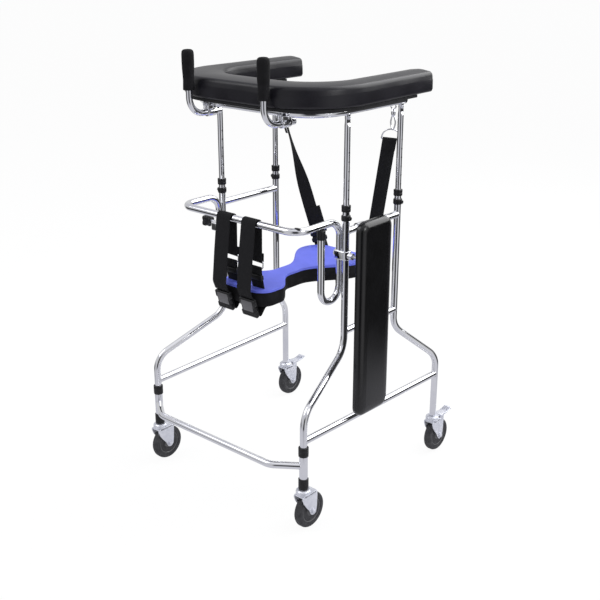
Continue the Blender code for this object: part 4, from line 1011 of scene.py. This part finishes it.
hook_wire, eye_z, dee_top = 0.002, 1.048, 0.986
for side, s in sides_of.items():
    bar = np.array([0.19 * s, 0.17, 0.957])
    tail = np.array([0.098, 0.2075, 0.556] if s > 0 else [-0.07, 0.217, 0.556])
    run, length = unit(tail - bar), np.linalg.norm(tail - bar)
    top = np.array([0.75, 0.66, 0] if s > 0 else [0.78, -0.63, 0])
    top = unit(top - run * (top @ run))
    low = unit(np.array([0.75, -0.66, 0] if s > 0 else [0.8, 0.6, 0]))
    hem_r = hook_wire + 0.0003 + web
    normal = np.cross(run, top)
    hem = bend([bar + p for p in (normal * hem_r + run * 0.03, normal * hem_r - run * hem_r,
                                  -normal * hem_r - run * hem_r, -normal * hem_r + run * 0.02)],
               [hem_r, hem_r], 20)
    first, last = (0.52, 0.88) if s > 0 else (0.06, 0.62)
    t = np.concatenate([[0.06, 0.13, 0.2, 0.36] if s > 0 else [], np.linspace(first, last, 36),
                        [0.5 + last / 2, 1.0]])
    drift = np.maximum(0, 1 - t * 1.5)[:, None]
    straight = bar + run * length * t[:, None] - normal * hem_r * drift
    inward = np.array([low[1], -low[0], 0])
    foot = np.array([*tail[:2], tail_z])
    down = bend([tail, foot, foot + inward * 0.06], [0.006], 12)[1:]
    line = np.vstack([hem, straight, down])

    def width_at(u):
        """The direction of the strap's width at the shares u of its way down."""
        k = smooth((u - first) / (last - first))[:, None]
        return unit(top * (1 - k) + low * k)

    def across_at(u):
        """The same direction, square to the strap."""
        across = width_at(u)
        return unit(across - run * (across @ run)[:, None])

    def fold(t0, t1, half, thick, corner):
        """A sleeve round the strap between two heights, its ends rounded off."""
        u = np.array([t0, t0 + 0.004, t0 + 0.012, t1 - 0.012, t1 - 0.004, t1])
        size = np.array([0.86, 0.97, 1.0, 1.0, 0.97, 0.86])[:, None, None]
        across = across_at(u)
        return swept(bar + run * length * u[:, None], across, np.cross(run, across), half,
                     thick, corner, size)

    wide = np.vstack([np.tile(top, (len(hem), 1)), width_at(t), np.tile(low, (len(down), 1))])
    u = np.linspace(0.622, 0.812, 8)
    across = across_at(u)
    tip = (bar + run * length * u[:, None] + across * 0.01
           + np.cross(run, across) * (0.003 - 0.0014 * np.linspace(1, 0, 8)[:, None] ** 4))
    shells = [(ribbon(line, wide, 0.019), webbing), (ribbon(tip, across, 0.019), webbing),
              (fold(0.8, 0.826, 0.0235, 0.0046, 0.002), black_plastic),
              (fold(0.838, 0.872, 0.0235, 0.0046, 0.002), black_plastic),
              (fold(0.822, 0.842, 0.0195, 0.0036, 0.0015), webbing)]
    rear = make(f"rear_strap_webbing_{side}", None, [f"rear_strap_{side}"], shells, 50)
    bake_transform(rear)

    x, y, a, reach = hook_at[0] * s, hook_at[1], circle(32), 0.023
    eye = np.stack([x + 0.008 * np.cos(a), y + 0 * a, eye_z + 0.008 * np.sin(a)], 1)
    hook = np.stack([x + 0.0075 * np.cos(a), y + 0 * a, 1.0045 + 0.012 * np.sin(a)
                     + 0.0075 * np.sign(np.sin(a)) * np.abs(np.sin(a)) ** 3], 1)
    rise = np.array([x, y, dee_top]) - bar
    dee = bend([bar, bar + top * reach, bar + top * reach + rise, bar - top * reach + rise,
                bar - top * reach, bar], [0.003, reach * 0.97, reach * 0.97, 0.003], 9)[:-1]
    flat = unit(np.cross(rise, top))
    shells = [(wire(eye, hook_wire, 12, (0, 1, 0)), chrome, True),
              (wire(hook, hook_wire, 12, (0, 1, 0)), chrome, True),
              (wire(dee, hook_wire, 12, flat), chrome, True),
              (turned("z", (x, y, 0),
                      [(1.0205, 0.0036), (1.023, 0.0052), (1.0265, 0.0062), (1.034, 0.0062),
                       (1.037, 0.005), (1.0405, 0.0034)], 28, 0.0014), chrome)]
    make(f"snap_hook_wire_{side}", "upper", [f"snap_hook_{side}"], shells, 50)

# ---- Hinged board ----------------------------------------------------------------
# A long padded board in smooth black vinyl hangs outside the right legs from a flat
# steel bracket hooked over the top bar.

board_vinyl = finish("smooth_black_vinyl", vinyl_look, (0.002, 0.002, 0.0024),
                     (0.0034, 0.0034, 0.0041), 0.13, 0.55)
flat = soften(box(-0.112, 0.018, 0.268, 0.803), 0.028, True, 8)[:, :2]
turn = np.radians(np.arange(0, 91, 11.25))
levels = [(0.3, 0.003), (0.3004, 0.0014), (0.3014, 0.0004), (0.3035, 0.0)]
levels += [(0.309 + 0.0162 * math.sin(t), 0.0215 * (1 - math.cos(t))) for t in turn]
levels += [(0.3256, 0.024), (0.3259, 0.0268)]
padding = make("board_padding", "board", ["seat_board"],
               [(stacked(flat, levels, (1, 2, 0)), board_vinyl)], 50)

hug, face, y = leg_r + 0.0018, 0.2982, 0.002
z = top_bar_z + hug
line = bend([(face, y, 0.69), (face, y, z), (post_x - hug, y, z), (post_x - hug, y, 0.747)],
            [0.012, hug], 8)
shells = [(swept(line, *carried(line, (0, 1, 0))[1:], 0.014, 0.0015, 0.0005), chrome)]
for height in (0.704, 0.728):
    shells.append((turned("x", (0, y, height), [(face - 0.0036, 0.0022), (face - 0.003, 0.0042),
                                                (face - 0.001, 0.0044)], 20), zinc))
make("board_bracket", "board", ["board_hook"], shells)
